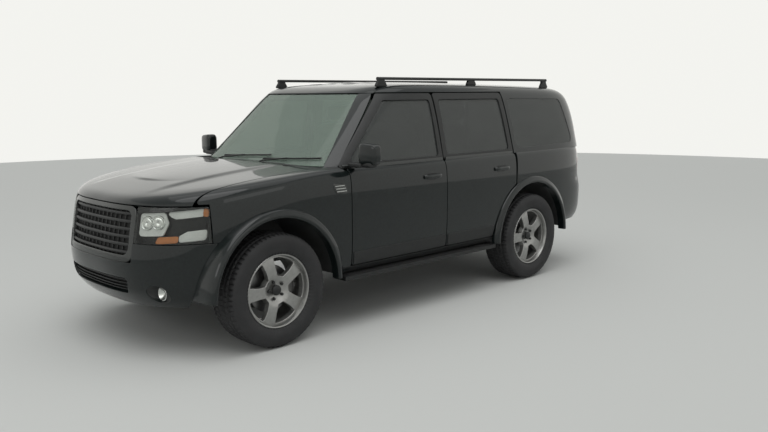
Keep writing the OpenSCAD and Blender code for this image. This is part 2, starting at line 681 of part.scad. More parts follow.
module front_bumper() color(plastic) difference() {
    intersection() {
        lower_wall(0.0, 0.38, 14, 0, 60);
        bumper_zone(0);
    }
    grille_zone(0);
    fog_holes(62);
}
fog_z = sill_z + 24;
fog_y = half_w - 370;
module fog_holes(r) both() rod_x(x_nose - 400, far, fog_y, fog_z, r);

module grille() color(plastic) intersection() {
    lower_wall(0.0, 0.20, 8, 12, 60);
    grille_zone(0);
}
module front_lamps() color([0.85, 0.86, 0.84]) {
    difference() {
        intersection() {
            lower_wall(0.05, 0.32, 9, 0, 60);
            lamp_zone(0);
            box([0, -half_w, 0], [far, half_w, lamp_high]);
        }
        both() rod_y(axle_f, 0, far, axle_z, arch_r + flare_w + seam);
    }
    intersection() {
        lower_wall(0.05, 0.32, 9, 24, 60);
        fog_holes(60);
    }
}

module rear_bumper() color(paint) difference() {
    intersection() {
        lower_wall(0.66, 1.0, 12, 0, 60);
        box([x_tail, -half_w, 0], [axle_r - arch_r + 60, half_w, gate_low - panel_gap - 2]);
    }
    both() rod_y(axle_r, 0, far, axle_z, arch_r + flare_w + seam);
    both() box([x_tail - 1, gate_half + 40, gate_low - 60], [far, far, far]);
}

module tail_lamp_zone() box([x_tail - 1, gate_half + 72, belt_z - 250], [x_tail + 230, half_w, belt_z - 22]);
module tail_lamps() color([0.55, 0.12, 0.10]) both() intersection() {
    lower_wall(0.74, 0.98, 8, 0, 24);
    tail_lamp_zone();
}

// ---- Glass ----
module windshield() color(glass) intersection() {
    upper_wall(0.0, 0.34, 12, 8, 8 + glass_t, 8, 8 + glass_t);
    screen_zone();
}
module quarter_glass() color(glass) both() intersection() {
    upper_wall(0.52, 0.90, 9, 8, 8 + glass_t);
    prism(qglass_outline(), 0, far);
}

module running_boards() color(plastic) both() {
    x0 = axle_r + arch_r + 70;
    x1 = axle_f - arch_r - 70;
    box([x0, half_w - 150, sill_z - 52], [x1, half_w - 8, sill_z - 20]);
    for (x = [x0 + 150, (x0 + x1) / 2, x1 - 150])
        box([x - 25, rail_y + rail_w / 2, sill_z - 44], [x + 25, half_w - 150, sill_z - 24]);
}

// ---- Inside ----
seat_w = 520;
seat_y = 390;
front_seat_x = x_bpillar + 140;
module seat(x, w) union() {
    box([x, -w / 2, floor_z + 180], [x + 475, w / 2, floor_z + 300]);
    box([x + 90, -w / 2 + 60, floor_z + 18], [x + 430, w / 2 - 60, floor_z + 180]);
    prism([[x - 10, floor_z + 300], [x + 110, floor_z + 300], [x - 60, floor_z + 880],
        [x - 160, floor_z + 880]], -w / 2, w / 2);
    prism([[x - 65, floor_z + 880], [x - 135, floor_z + 880], [x - 165, floor_z + 1050],
        [x - 90, floor_z + 1050]], -130, 130);
}
module seats() color([0.22, 0.21, 0.19]) {
    both() translate([0, seat_y, 0]) seat(front_seat_x, seat_w);
    seat(front_seat_x - 700, 1300);
}

dash_x = x_cowl - 60;
module dashboard() color(plastic) union() {
    prism([[dash_x - 330, belt_z - 250], [dash_x - 360, belt_z - 60], [dash_x - 120, belt_z - 20],
        [bulkhead_x - 20, belt_z - 30], [bulkhead_x - 20, belt_z - 330]], -half_w + 245, half_w - 245);
    box([front_seat_x - 60, -95, floor_z + 18], [dash_x - 200, 95, floor_z + 330]);
}
wheel_x = dash_x - 450;
wheel_z = floor_z + 530;
column_tilt = 25;
module steering_wheel() color(plastic) translate([wheel_x, seat_y, wheel_z]) rotate([0, column_tilt, 0]) union() {
    rotate([0, 90, 0]) rotate_extrude($fn = 64) translate([185, 0]) circle(r = 16, $fn = 24);
    rod_x(-12, 60, 0, 0, 62);
    for (a = [0, 120, 240]) rotate([a, 0, 0]) box([-8, -18, 40], [8, 18, 178]);
}

// ---- Hood, tailgate and doors ----
module hood() color(paint) difference() {
    intersection() {
        lower_wall(0.0, 0.42, 16, 0, lid_t, 0, lid_t);
        linear_extrude(far) polygon(hood_outline(0));
        box([0, -half_w, hood_cut_z], [far, half_w, far]);
    }
    lamp_zone(-panel_gap);
}
module gate_window_zone() rotate([90, 0, 90]) translate([0, 0, x_tail - 10]) linear_extrude(700)
    polygon(rounded([[-gate_half + 30, belt_z + 70], [-gate_half + 120, roof_z - 175],
        [gate_half - 120, roof_z - 175], [gate_half - 30, belt_z + 70]], 50));
module tailgate() color(paint) difference() {
    union() {
        intersection() {
            upper_wall(0.74, 1.0, 9, 0, lid_t, 0, lid_t);
            box([x_tail - 1, -half_w, belt_z - 20], [far, half_w, far]);
            gate_zone(0);
        }
        intersection() {
            lower_wall(0.74, 1.0, 9, 0, lid_t + 20);
            box([x_tail - 1, -half_w, 0], [far, half_w, belt_z + 12]);
            gate_zone(0);
        }
    }
    gate_window_zone();
}
module tailgate_glass() color(glass) intersection() {
    upper_wall(0.74, 1.0, 9, 8, 8 + glass_t);
    gate_window_zone();
}

// A door on the left: its outline, the outline of its thick part, stations, and its window
module door_left(outline, inner, upper_u, lower_u, window) difference() {
    union() {
        intersection() {
            upper_wall(upper_u[0], upper_u[1], 7, 0, frame_t);
            prism(outline, 0, far);
            box([-far, 0, belt_z - 20], [far, half_w, far]);
        }
        intersection() {
            lower_wall(lower_u[0], lower_u[1], 4, 0, frame_t);
            prism(outline, 0, far);
            box([-far, half_w - door_t - 90, 0], [far, half_w, belt_z + 2]);
        }
        difference() {
            intersection() {
                lower_wall(lower_u[0], lower_u[1], 4, 20, door_t);
                prism(inner, 0, far);
                box([-far, half_w - door_t - 90, 0], [far, half_w, belt_z - 6]);
            }
            rod_y(axle_r, 0, far, axle_z, rear_arch_cut + edge_in);
        }
    }
    prism(window, 0, far);
    rod_y(axle_r, 0, far, axle_z, rear_arch_cut);
}
edge_in = 60;
module front_door() color(paint) door_left(
    fdoor_outline(0), fdoor_outline(-edge_in), [0.20, 0.66], [0.38, 0.56], fglass_outline());
module rear_door() color(paint) door_left(
    rdoor_outline(0), rdoor_outline(-edge_in), [0.30, 0.80], [0.48, 0.64], rglass_outline());
module front_door_left() front_door();
module front_door_right() mirror([0, 1, 0]) front_door();
module rear_door_left() rear_door();
module rear_door_right() mirror([0, 1, 0]) rear_door();
module window_left(u0, u1, outline) color(glass) intersection() {
    upper_wall(u0, u1, 7, 10, 10 + glass_t);
    prism(outline, 0, far);
}
module front_door_glass_left() window_left(0.20, 0.66, fglass_outline());
module front_door_glass_right() mirror([0, 1, 0]) window_left(0.20, 0.66, fglass_outline());
module rear_door_glass_left() window_left(0.30, 0.80, rglass_outline());
module rear_door_glass_right() mirror([0, 1, 0]) window_left(0.30, 0.80, rglass_outline());

mirror_x = pillar_x(belt_z) - 115;
module mirror_pod() color(plastic) union() {
    box([mirror_x - 10, half_w - 84, belt_z - 4], [mirror_x + 90, half_w + 20, belt_z + 36]);
    hull() {
        box([mirror_x - 30, half_w + 18, belt_z + 4], [mirror_x + 60, half_w + 30, belt_z + 180]);
        box([mirror_x - 30, half_w + 170, belt_z + 24], [mirror_x + 30, half_w + 182, belt_z + 170]);
    }
}
module mirror_left() mirror_pod();
module mirror_right() mirror([0, 1, 0]) mirror_pod();

ladder_frame();
engine();
drivetrain();
exhaust();
fuel_tank();
spare_wheel();
front_suspension();
rear_axle();
tow_receiver();
floor_pan();
wheel_tubs();
body_sides();
roof();
roof_rails();
front_fenders();
front_bumper();
grille();
front_lamps();
rear_bumper();
tail_lamps();
windshield();
quarter_glass();
running_boards();
seats();
dashboard();
steering_wheel();
hood();
tailgate();
tailgate_glass();
front_door_left();
front_door_glass_left();
mirror_left();
front_door_right();
front_door_glass_right();
mirror_right();
rear_door_left();
rear_door_glass_left();
rear_door_right();
rear_door_glass_right();
knuckle_left();
knuckle_right();
tyre_front_left();
rim_front_left();
tyre_front_right();
rim_front_right();
tyre_rear_left();
rim_rear_left();
tyre_rear_right();
rim_rear_right();
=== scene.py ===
# %% [markdown]
# # A black sport utility vehicle
# A body-on-frame vehicle with five doors. The frame, joints and sizes are fixed already and arrive
# as the imported model. This lesson puts the finished skin around it: pressed panels with rolled
# edges, glass, lamps, wheels and trim. It starts by loading the frame and keeping its box.

# %% Load the frame
import bpy, math
import numpy as np
from mathutils import Vector, Matrix, geometry


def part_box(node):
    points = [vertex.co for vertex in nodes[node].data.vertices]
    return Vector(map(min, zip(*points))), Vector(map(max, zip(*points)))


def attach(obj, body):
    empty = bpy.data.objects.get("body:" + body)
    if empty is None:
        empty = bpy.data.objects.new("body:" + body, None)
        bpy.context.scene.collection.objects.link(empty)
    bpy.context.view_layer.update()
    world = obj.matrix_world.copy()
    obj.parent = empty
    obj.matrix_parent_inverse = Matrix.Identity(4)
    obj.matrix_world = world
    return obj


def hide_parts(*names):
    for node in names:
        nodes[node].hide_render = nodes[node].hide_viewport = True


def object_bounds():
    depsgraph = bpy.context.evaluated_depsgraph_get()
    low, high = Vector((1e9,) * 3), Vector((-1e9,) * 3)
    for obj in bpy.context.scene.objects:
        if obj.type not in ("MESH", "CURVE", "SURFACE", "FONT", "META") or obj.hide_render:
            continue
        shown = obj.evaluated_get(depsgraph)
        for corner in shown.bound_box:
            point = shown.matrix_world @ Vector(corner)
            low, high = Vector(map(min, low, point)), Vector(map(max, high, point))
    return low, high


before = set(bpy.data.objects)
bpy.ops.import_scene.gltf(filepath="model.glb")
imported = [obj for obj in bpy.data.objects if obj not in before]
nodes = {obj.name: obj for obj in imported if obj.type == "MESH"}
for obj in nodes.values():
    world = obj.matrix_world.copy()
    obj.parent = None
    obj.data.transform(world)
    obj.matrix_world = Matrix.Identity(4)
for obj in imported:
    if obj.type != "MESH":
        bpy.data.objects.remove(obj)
box0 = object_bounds()
print("frame box", [round(v, 3) for v in (*box0[0], *box0[1])])

# %% [markdown]
# ## Main sizes
# A body designer starts from hard points: the axles, the tyre radius, the waist, the width. The
# axles, the tyre and the width are read from the boxes of the frame's pieces, so the skin always fits
# what it covers; the waist is given.

# %% Hard points
sides = (("left", 1), ("right", -1))

def middle(node):
    lo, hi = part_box(node)
    return (lo + hi) / 2

wheel_f, wheel_r = middle("tyre_front_left"), middle("tyre_rear_left")
axle_f, axle_r, axle_z = wheel_f.x, wheel_r.x, wheel_f.z
tyre_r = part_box("tyre_front_left")[1].z - axle_z
tyre_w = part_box("tyre_front_left")[1].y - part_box("tyre_front_left")[0].y
half_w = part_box("body_sides")[1].y
x_nose, x_tail = box0[1].x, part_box("rear_bumper")[0].x
roof_z = box0[1].z - 0.046
sill_z, belt_z, nose_z = 0.430, 1.215, 1.075
x_cowl = axle_f - 0.520
screen_run, tail_run = 0.570, 0.140
arch_r, flare_w = tyre_r + 0.108, 0.062
x_fdoor = axle_f - arch_r - 0.162
x_bpillar = x_fdoor - 1.060
x_rdoor = axle_r + 0.262
door_low = sill_z + 0.048
door_high = belt_z + (roof_z - belt_z) * 0.865
print("axles", round(axle_f, 3), round(axle_r, 3), "doors", round(x_fdoor, 3), round(x_bpillar, 3),
      round(x_rdoor, 3))

# %% [markdown]
# ## The body surface
# A car body is one smooth surface that is cut into panels afterwards. Here it is two skins, the
# lower body and the cabin. Each is a stack of rounded plan outlines, given by rows of height,
# side inset, nose inset and tail inset. A point of a skin has two coordinates, like a fabric:
# a runs along the length and around the corners, b runs up the section. Both are in metres, so
# a panel can be drawn flat and laid on the body without much stretch.

# %% Skins
def smooth01(t):
    t = np.clip(t, 0, 1)
    return t * t * (3 - 2 * t)

def low_edge(x):
    front = sill_z - 0.090 * smooth01((x - axle_f + 0.2) / 0.6)
    back = sill_z + 0.040 * smooth01((axle_r + 0.1 - x) / 0.5)
    return np.where(x > 0, front, back)

def waist(x):
    t = np.clip((x - x_cowl) / (x_nose - x_cowl), 0, 1)
    return np.where(x > x_cowl, belt_z + (nose_z - belt_z) * t ** 1.4,
                    belt_z + 0.026 * (x_cowl - x) / (x_cowl - x_tail))

roof_peak = x_cowl - screen_run - 0.450
def roof_line(x):
    return (roof_z - 0.046 * (np.maximum(0, roof_peak - x) / (roof_peak - x_tail)) ** 2
            - 0.018 * (np.maximum(0, x - roof_peak) / 0.7) ** 2)

def monotone(xs, ys, xq):
    """A smooth curve through the rows that never overshoots them."""
    h, d = np.diff(xs), np.diff(ys) / np.diff(xs)
    m = np.zeros_like(ys)
    for i in range(1, len(xs) - 1):
        if d[i - 1] * d[i] > 0:
            w1, w2 = 2 * h[i] + h[i - 1], h[i] + 2 * h[i - 1]
            m[i] = (w1 + w2) / (w1 / d[i - 1] + w2 / d[i])
    m[0], m[-1] = d[0], d[-1]
    i = np.clip(np.searchsorted(xs, xq) - 1, 0, len(h) - 1)
    t = (xq - xs[i]) / h[i]
    return (ys[i] * (1 + 2 * t) * (1 - t) ** 2 + m[i] * h[i] * t * (1 - t) ** 2
            + ys[i + 1] * t * t * (3 - 2 * t) + m[i + 1] * h[i] * t * t * (t - 1))

class Skin:
    def __init__(self, rows, x1, x0, base, top, n_front, k_front, n_tail, height):
        rows = np.array(rows, float)
        rows[:, 1:] /= 1000
        j, jq = np.arange(len(rows)) * 1.0, np.linspace(0, len(rows) - 1, 900)
        self.share, self.side, self.nose, self.tail = (monotone(j, rows[:, i], jq) for i in range(4))
        step = np.hypot(np.diff(self.share) * height, np.diff(self.side))
        self.b = np.concatenate([[0], np.cumsum(step)])
        self.x1, self.x0, self.base, self.top = x1, x0, base, top
        parts = []
        for n, k in ((n_tail, 1.0), (n_front, k_front)):
            g = np.linspace(0, math.pi / 2, 3000)
            c = 1 - k + k * np.sin(g) ** (2 / n)
            s = np.cos(g) ** (2 / n)
            c[0] = 1 - k
            c, s = np.concatenate([[0], c]), np.concatenate([[1], s])
            s[-1] = 0
            c = c * (1 - 0.012 * s * s)
            length = np.concatenate([[0], np.cumsum(np.hypot(np.diff(c) * (x1 - x0) / 2,
                np.diff(s) * half_w))])
            parts.append((c, s, length))
        (ct, st, lt), (cf, sf, lf) = parts
        self.tail_end, self.nose_end = -lt[-1], lf[-1]
        # Past either end the coordinate runs on along the right side
        self.a = np.concatenate([-2 * lt[-1] + lt[:-1], -lt[::-1], lf[1:], 2 * lf[-1] - lf[-2::-1]])
        self.X = np.concatenate([-ct[:-1], -ct[::-1], cf[1:], cf[-2::-1]])
        self.S = np.concatenate([-st[:-1], st[::-1], sf[1:], -sf[-2::-1]])
        left = (self.a >= -lt[-1]) & (self.a <= lf[-1])
        self.la, self.lX, self.lS = self.a[left], self.X[left], self.S[left]

    def rows_at(self, b):
        return [np.interp(b, self.b, v) for v in (self.share, self.side, self.nose, self.tail)]

    def point(self, a, b):
        share, side, nose, tail = self.rows_at(b)
        x1, x0 = self.x1 - nose, self.x0 + tail
        x = (x1 + x0) / 2 + (x1 - x0) / 2 * np.interp(a, self.a, self.X)
        y = (half_w - side) * np.interp(a, self.a, self.S)
        z = self.base(x) + (self.top(x) - self.base(x)) * share
        return np.stack([x, y, z], -1)

    def normal(self, a, b):
        e = 0.002
        pa = self.point(a + e, b) - self.point(a - e, b)
        pb = self.point(a, b + e) - self.point(a, b - e)
        n = np.cross(pb, pa)
        length = np.linalg.norm(n, axis=-1, keepdims=True)
        return n / np.maximum(length, 1e-12)

    def from_xz(self, x, z):
        x, z = np.asarray(x, float), np.asarray(z, float)
        share = (z - self.base(x)) / (self.top(x) - self.base(x))
        b = np.interp(share, self.share, self.b)
        _, side, nose, tail = self.rows_at(b)
        x1, x0 = self.x1 - nose, self.x0 + tail
        return np.stack([np.interp((x - (x1 + x0) / 2) / ((x1 - x0) / 2), self.lX, self.la), b], -1)

    def from_yz(self, y, z, end):
        """For the nose (end = 1) or the tail (end = -1)."""
        y, z = np.asarray(y, float), np.asarray(z, float)
        x = np.full(y.shape, self.x1 if end > 0 else self.x0)
        for _ in range(12):
            share = (z - self.base(x)) / (self.top(x) - self.base(x))
            b = np.interp(share, self.share, self.b)
            _, side, nose, tail = self.rows_at(b)
            s = np.clip(y / (half_w - side), 0, 1)
            pick = self.la > 0 if end > 0 else self.la < 0
            sa, aa = self.lS[pick], self.la[pick]
            order = np.argsort(sa)
            a = np.interp(s, sa[order], aa[order])
            x1, x0 = self.x1 - nose, self.x0 + tail
            x = (x1 + x0) / 2 + (x1 - x0) / 2 * np.interp(a, self.a, self.X)
        return np.stack([a, b], -1)

    def from_xy(self, x, y):
        """For the top: looks inwards through the rings until one passes the point."""
        x, y = np.asarray(x, float), np.abs(np.asarray(y, float))
        bs = np.linspace(np.interp(0.75, self.share, self.b), self.b[-1], 500)
        share, side, nose, tail = self.rows_at(bs)
        x1, x0 = self.x1 - nose, self.x0 + tail
        c = (x[:, None] - (x1 + x0) / 2) / ((x1 - x0) / 2)
        s = np.interp(c, self.lX, self.lS, left=-1, right=-1)
        ys = (half_w - side) * s
        b = np.array([np.interp(-q, -row, bs) for q, row in zip(y, ys)])
        _, _, nose, tail = self.rows_at(b)
        x1, x0 = self.x1 - nose, self.x0 + tail
        a = np.interp((x - (x1 + x0) / 2) / ((x1 - x0) / 2), self.lX, self.la)
        return np.stack([a, b], -1), np.minimum(y / np.maximum(ys[:, -1], 1e-3), 1.0), ys[:, -1]

    def height(self, x, y, crown):
        """Height of the top surface, with a slight crown inside the last ring."""
        ab, inner, reach = self.from_xy(x, y)
        share = np.interp(ab[:, 1], self.b, self.share)
        z = self.base(x) + (self.top(x) - self.base(x)) * share
        return z + np.where(reach > 0.05, crown * (1 - inner ** 2), 0)

lower = Skin([[0.00, 66, 118, 62], [0.08, 42, 60, 24], [0.20, 31, 14, 2], [0.40, 26, 0, 0],
              [0.62, 25, 22, 44], [0.80, 29, 46, 48], [0.90, 38, 64, 54], [0.955, 53, 90, 60],
              [0.985, 80, 135, 76], [1.00, 135, 215, 110], [1.012, 420, 420, 400]],
             x_nose, x_tail, low_edge, waist, 3, 0.48, 9, 0.78)
lean = [[-0.09, 64, -0.09, 0.00], [0.00, 70, 0.00, 0.00], [0.15, 90, 0.17, 0.04],
        [0.32, 112, 0.36, 0.10], [0.50, 138, 0.56, 0.20], [0.68, 168, 0.76, 0.38],
        [0.82, 198, 0.92, 0.62], [0.91, 230, 1.05, 1.00], [0.96, 268, 1.20, 1.55],
        [0.985, 330, 1.40, 2.20], [1.00, 460, 1.75, 3.20]]
cabin = Skin([[r[0], r[1], r[2] * screen_run * 1000, r[3] * tail_run * 1000] for r in lean],
             x_cowl + 0.045, x_tail + 0.050, lambda x: belt_z + 0 * x, roof_line, 8, 1.0, 9, 0.62)
print("skins", len(lower.b), len(cabin.b))

# %% [markdown]
# ## Cutting a panel from the skin
# A pressed panel has an outline, a rolled edge and a flange that turns inwards. The outline is
# drawn in the flat, filled with small triangles that keep to its edge, and laid on the skin. The
# edge then rolls over a small radius and runs in as a flange. The shading normals come from the
# skin's own formula, so dark paint mirrors the room without ripples.

# %% Outlines
def rounded(points, radius, step=0.018):
    """A closed outline with round corners, its points about one step apart."""
    pts, n, out = [np.array(p, float) for p in points], len(points), []
    for i in range(n):
        p, q, r = pts[i - 1], pts[i], pts[(i + 1) % n]
        u, v = (p - q) / np.linalg.norm(p - q), (r - q) / np.linalg.norm(r - q)
        half = math.acos(np.clip(u @ v, -1, 1)) / 2
        if abs(half - math.pi / 2) < 0.02:
            out.append(q)
            continue
        d = min(radius / math.tan(half), 0.49 * min(np.linalg.norm(p - q), np.linalg.norm(r - q)))
        rr = d * math.tan(half)
        centre = q + (u + v) / np.linalg.norm(u + v) * rr / math.sin(half)
        a0, a1 = (math.atan2(*(w - centre)[::-1]) for w in (q + u * d, q + v * d))
        sweep = (a1 - a0 + math.pi) % (2 * math.pi) - math.pi
        k = max(4, int(abs(sweep) * rr / 0.006))
        out += [centre + rr * np.array([math.cos(a0 + sweep * t / k), math.sin(a0 + sweep * t / k)])
                for t in range(k + 1)]
    dense = []
    for i in range(len(out)):
        p, q = out[i], out[(i + 1) % len(out)]
        k = max(1, int(math.ceil(np.linalg.norm(q - p) / step)))
        dense += [p + (q - p) * t / k for t in range(k)]
    keep = [p for i, p in enumerate(dense) if np.linalg.norm(p - dense[i - 1]) > 1e-5]
    return np.array(keep)

def arc(cx, cz, r, a0, a1, count=40):
    t = np.radians(np.linspace(a0, a1, count))
    return [(cx + r * math.cos(v), cz + r * math.sin(v)) for v in t]

def inside(p, loop):
    x, y = p[:, 0], p[:, 1]
    hit = np.zeros(len(p), bool)
    for (x0, y0), (x1, y1) in zip(loop, np.roll(loop, -1, 0)):
        if y0 != y1:
            hit ^= ((y0 > y) != (y1 > y)) & (x < (x1 - x0) * (y - y0) / (y1 - y0) + x0)
    return hit

def area2(loop):
    x, y = loop[:, 0], loop[:, 1]
    return float(np.sum(x * np.roll(y, -1) - np.roll(x, -1) * y))

def apart(loop, least):
    """Leaves out each point that nearly repeats the one before it."""
    return loop[np.linalg.norm(loop - np.roll(loop, 1, 0), axis=1) > least]

def spaced(loop, step=0.018):
    """The same outline with its points evenly spread again after it was laid on a skin."""
    out = []
    for p, q in zip(loop, np.roll(loop, -1, 0)):
        k = max(1, int(np.linalg.norm(q - p) / step + 0.5))
        out += [p + (q - p) * t / k for t in range(k)]
    return apart(np.array(out), 4e-4)

# %% [markdown]
# A panel is a sheet of steel about a millimetre thick, folded back at its edges. It could be a plane with a
# solidify and a bevel, but those round badly where a dense curved skin meets a hole. So the outline is filled
# flat, lifted onto the skin, and given a rolled edge and side walls row by row, with normals from the skin.

# %% Panels
def new_object(name, data):
    ob = bpy.data.objects.new(name, data)
    bpy.context.scene.collection.objects.link(ob)
    return ob

def mesh_object(name, verts, faces, normals=None, material=None):
    me = bpy.data.meshes.new(name)
    me.from_pydata([tuple(map(float, v)) for v in verts], [], [tuple(map(int, f)) for f in faces])
    me.update()
    me.shade_smooth()
    if normals is not None:
        me.normals_split_custom_set_from_vertices([tuple(map(float, n)) for n in normals])
    ob = new_object(name, me)
    if material is not None:
        me.materials.append(material)
    return ob

def fill(loops, step):
    """Triangles that fill the first outline and leave the others open."""
    verts, edges, start = [], [], 0
    for loop in loops:
        verts += list(loop)
        edges += [(start + i, start + (i + 1) % len(loop)) for i in range(len(loop))]
        start += len(loop)
    lo, hi = loops[0].min(0), loops[0].max(0)
    gx, gy = (np.arange(l + step / 2, h, step) for l, h in zip(lo, hi))
    grid = np.array(np.meshgrid(gx, gy)).reshape(2, -1).T
    ok = inside(grid, loops[0])
    for loop in loops[1:]:
        ok &= ~inside(grid, loop)
    grid = grid[ok]
    border = np.concatenate(loops)
    far = np.ones(len(grid), bool)
    for i in range(0, len(grid), 500):
        d = np.linalg.norm(grid[i:i + 500, None] - border[None], axis=2).min(1)
        far[i:i + 500] = d > 0.45 * step
    verts += list(grid[far])
    co, _, faces, *_ = geometry.delaunay_2d_cdt([Vector(v) for v in verts], edges, [], 0, 1e-7)
    P = np.array([(v.x, v.y) for v in co])
    F = np.array([f for f in faces if len(f) == 3])
    c = P[F].mean(1)
    ok = inside(c, loops[0])
    for loop in loops[1:]:
        ok &= ~inside(c, loop)
    F = F[ok]
    turn = np.cross(P[F[:, 1]] - P[F[:, 0]], P[F[:, 2]] - P[F[:, 0]])
    F[turn < 0] = F[turn < 0][:, ::-1]
    return P, F[np.abs(turn) > 1e-12]

def shell(name, V, N, F, loops, depth, material, roll=0.0025):
    """A closed piece from its outer skin: rolled edges, a flange, and an inner skin at the given depth."""
    verts, normals, faces, count = [V], [N], [tuple(f) for f in F], len(V)
    rims = []
    for ids in loops:
        p0, n0, m = V[ids], N[ids], len(ids)
        d = np.roll(p0, -1, 0) - np.roll(p0, 1, 0)
        out = np.cross(d, n0)
        out /= np.maximum(np.linalg.norm(out, axis=1, keepdims=True), 1e-12)
        prev = np.array(ids)
        for angle, sink in ((30, None), (60, None), (90, None), (90, depth)):
            t = math.radians(angle)
            ring = p0 + out * roll * math.sin(t) - n0 * (roll * (1 - math.cos(t)) if sink is None else sink)
            verts.append(ring)
            normals.append(n0 * math.cos(t) + out * math.sin(t))
            new = np.arange(count, count + m)
            count += m
            faces += [(prev[i], new[i], new[(i + 1) % m], prev[(i + 1) % m]) for i in range(m)]
            prev = new
        verts.append(ring)
        normals.append(-n0)
        rims.append((ids, np.arange(count, count + m)))
        count += m
    verts.append(V - N * depth)
    normals.append(-N)
    faces += [tuple(np.array(f)[::-1] + count) for f in F]
    for ids, rim in rims:
        m = len(ids)
        faces += [(rim[i], ids[i] + count, ids[(i + 1) % m] + count, rim[(i + 1) % m]) for i in range(m)]
    return mesh_object(name, np.concatenate(verts), faces, np.concatenate(normals), material)

def panel(name, skin, loops, depth, material, roll=0.0025, start=0.0, step=0.028):
    """A shell cut from a skin by a flat outline and, after it, the outlines of its openings."""
    loops = [spaced(np.asarray(l, float), min(0.018, step)) for l in loops]
    loops = [l if (area2(l) > 0) == (i == 0) else l[::-1] for i, l in enumerate(loops)]
    P, F = fill(loops, step)
    n = skin.normal(P[:, 0], P[:, 1])
    V = skin.point(P[:, 0], P[:, 1]) - n * start
    ids = [np.array([np.argmin(np.abs(P - p).sum(1)) for p in l])[::-1] for l in loops]
    return shell(name, V, n, F[:, ::-1], ids, depth - start, material, roll)

def patch(name, G, depth, material, roll=0.0025, outward=(0, 0, 1), row=None):
    """A four-sided shell from a grid of points. Its skin faces outward at the middle of the given row."""
    du, dv = np.gradient(G, axis=0), np.gradient(G, axis=1)
    N = np.cross(du, dv)
    N /= np.maximum(np.linalg.norm(N, axis=2, keepdims=True), 1e-12)
    nu, nv = G.shape[:2]
    if N[nu // 2 if row is None else row, nv // 2] @ np.array(outward) < 0:
        G, N = G[:, ::-1], -N[:, ::-1]
    at = lambda i, j: i * nv + j
    F = [(at(i, j), at(i + 1, j), at(i + 1, j + 1), at(i, j + 1)) for i in range(nu - 1)
         for j in range(nv - 1)]
    border = ([at(i, 0) for i in range(nu)] + [at(nu - 1, j) for j in range(1, nv)]
              + [at(i, nv - 1) for i in range(nu - 2, -1, -1)] + [at(0, j) for j in range(nv - 2, 0, -1)])
    return shell(name, G.reshape(-1, 3), N.reshape(-1, 3), F, [np.array(border)], depth, material, roll)

def mirrored(ob, name):
    """The same piece for the right side."""
    me = ob.data.copy()
    normals = np.zeros(len(me.loops) * 3, np.float32)
    me.corner_normals.foreach_get("vector", normals)
    normals = normals.reshape(-1, 3) * [1, -1, 1]
    order = []
    for p in me.polygons:
        order += [normals[p.loop_start]] + [normals[p.loop_start + i] for i in range(p.loop_total - 1, 0, -1)]
    me.transform(Matrix.Scale(-1, 4, (0, 1, 0)))
    me.flip_normals()
    me.update()
    me.normals_split_custom_set([tuple(map(float, n)) for n in order])
    return new_object(name, me)

def place(ob, body, slot, *replaced):
    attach(ob, body)
    if replaced:
        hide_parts(*replaced)
    return ob

def both(ob, body, slot, *replaced):
    """Places a piece of the left side, and its mirror image on the right."""
    right = lambda text: text.replace("left", "right")
    place(ob, body, slot, *replaced)
    place(mirrored(ob, right(ob.name)), right(body), slot, *[right(node) for node in replaced])

# %% [markdown]
# ## Finishes
# The paint is gloss black under a clear coat, which is a dark base with a second mirror-like layer.
# Very fine flakes and a slight orange peel stop it from looking like plastic. The other finishes
# are a few grained plastics, rubber, cast alloy, glass and lamp lenses, each with its own relief.

# %% Material helpers
def material(name, color, rough, metal=0.0, coat=0.0, **sockets):
    m = bpy.data.materials.new(name)
    m.use_nodes = True
    bsdf = m.node_tree.nodes["Principled BSDF"]
    bsdf.inputs["Base Color"].default_value = (*color, 1)
    bsdf.inputs["Roughness"].default_value = rough
    bsdf.inputs["Metallic"].default_value = metal
    bsdf.inputs["Coat Weight"].default_value = coat
    for key, value in sockets.items():
        bsdf.inputs[key.replace("_", " ")].default_value = value
    return m

def add(m, kind, **values):
    node = m.node_tree.nodes.new(kind)
    for key, value in values.items():
        if key in node.inputs:
            node.inputs[key].default_value = value
        else:
            setattr(node, key, value)
    return node

def grain(m, scale, strength, distance=0.001, detail=3.0, tone=0.0, rough=None):
    """Noise that moves the relief, the tone and the roughness of a finish together."""
    tree = m.node_tree
    bsdf = tree.nodes["Principled BSDF"]
    where = add(m, "ShaderNodeTexCoord")
    noise = add(m, "ShaderNodeTexNoise", Scale=scale, Detail=detail)
    tree.links.new(where.outputs["Object"], noise.inputs["Vector"])
    if strength:
        bump = add(m, "ShaderNodeBump", Strength=strength, Distance=distance)
        tree.links.new(noise.outputs["Fac"], bump.inputs["Height"])
        tree.links.new(bump.outputs["Normal"], bsdf.inputs["Normal"])
    if tone:
        base = bsdf.inputs["Base Color"].default_value[:3]
        ramp = add(m, "ShaderNodeValToRGB")
        ramp.color_ramp.elements[0].position, ramp.color_ramp.elements[1].position = 0.3, 0.7
        ramp.color_ramp.elements[0].color = (*[c * (1 - tone) for c in base], 1)
        ramp.color_ramp.elements[1].color = (*[min(1, c * (1 + tone)) for c in base], 1)
        broad = add(m, "ShaderNodeTexNoise", Scale=scale * 0.07, Detail=4.0)
        tree.links.new(where.outputs["Object"], broad.inputs["Vector"])
        tree.links.new(broad.outputs["Fac"], ramp.inputs["Fac"])
        tree.links.new(ramp.outputs["Color"], bsdf.inputs["Base Color"])
    if rough:
        span = add(m, "ShaderNodeMapRange")
        span.inputs["To Min"].default_value, span.inputs["To Max"].default_value = rough
        tree.links.new(noise.outputs["Fac"], span.inputs["Value"])
        tree.links.new(span.outputs["Result"], bsdf.inputs["Roughness"])
    return m

# %% [markdown]
# Each finish has one value for what is even, and noise where the real surface varies: flakes in paint, pores
# in rubber, grain in plastic. A picture could give the same, but noise keeps its scale on every piece.

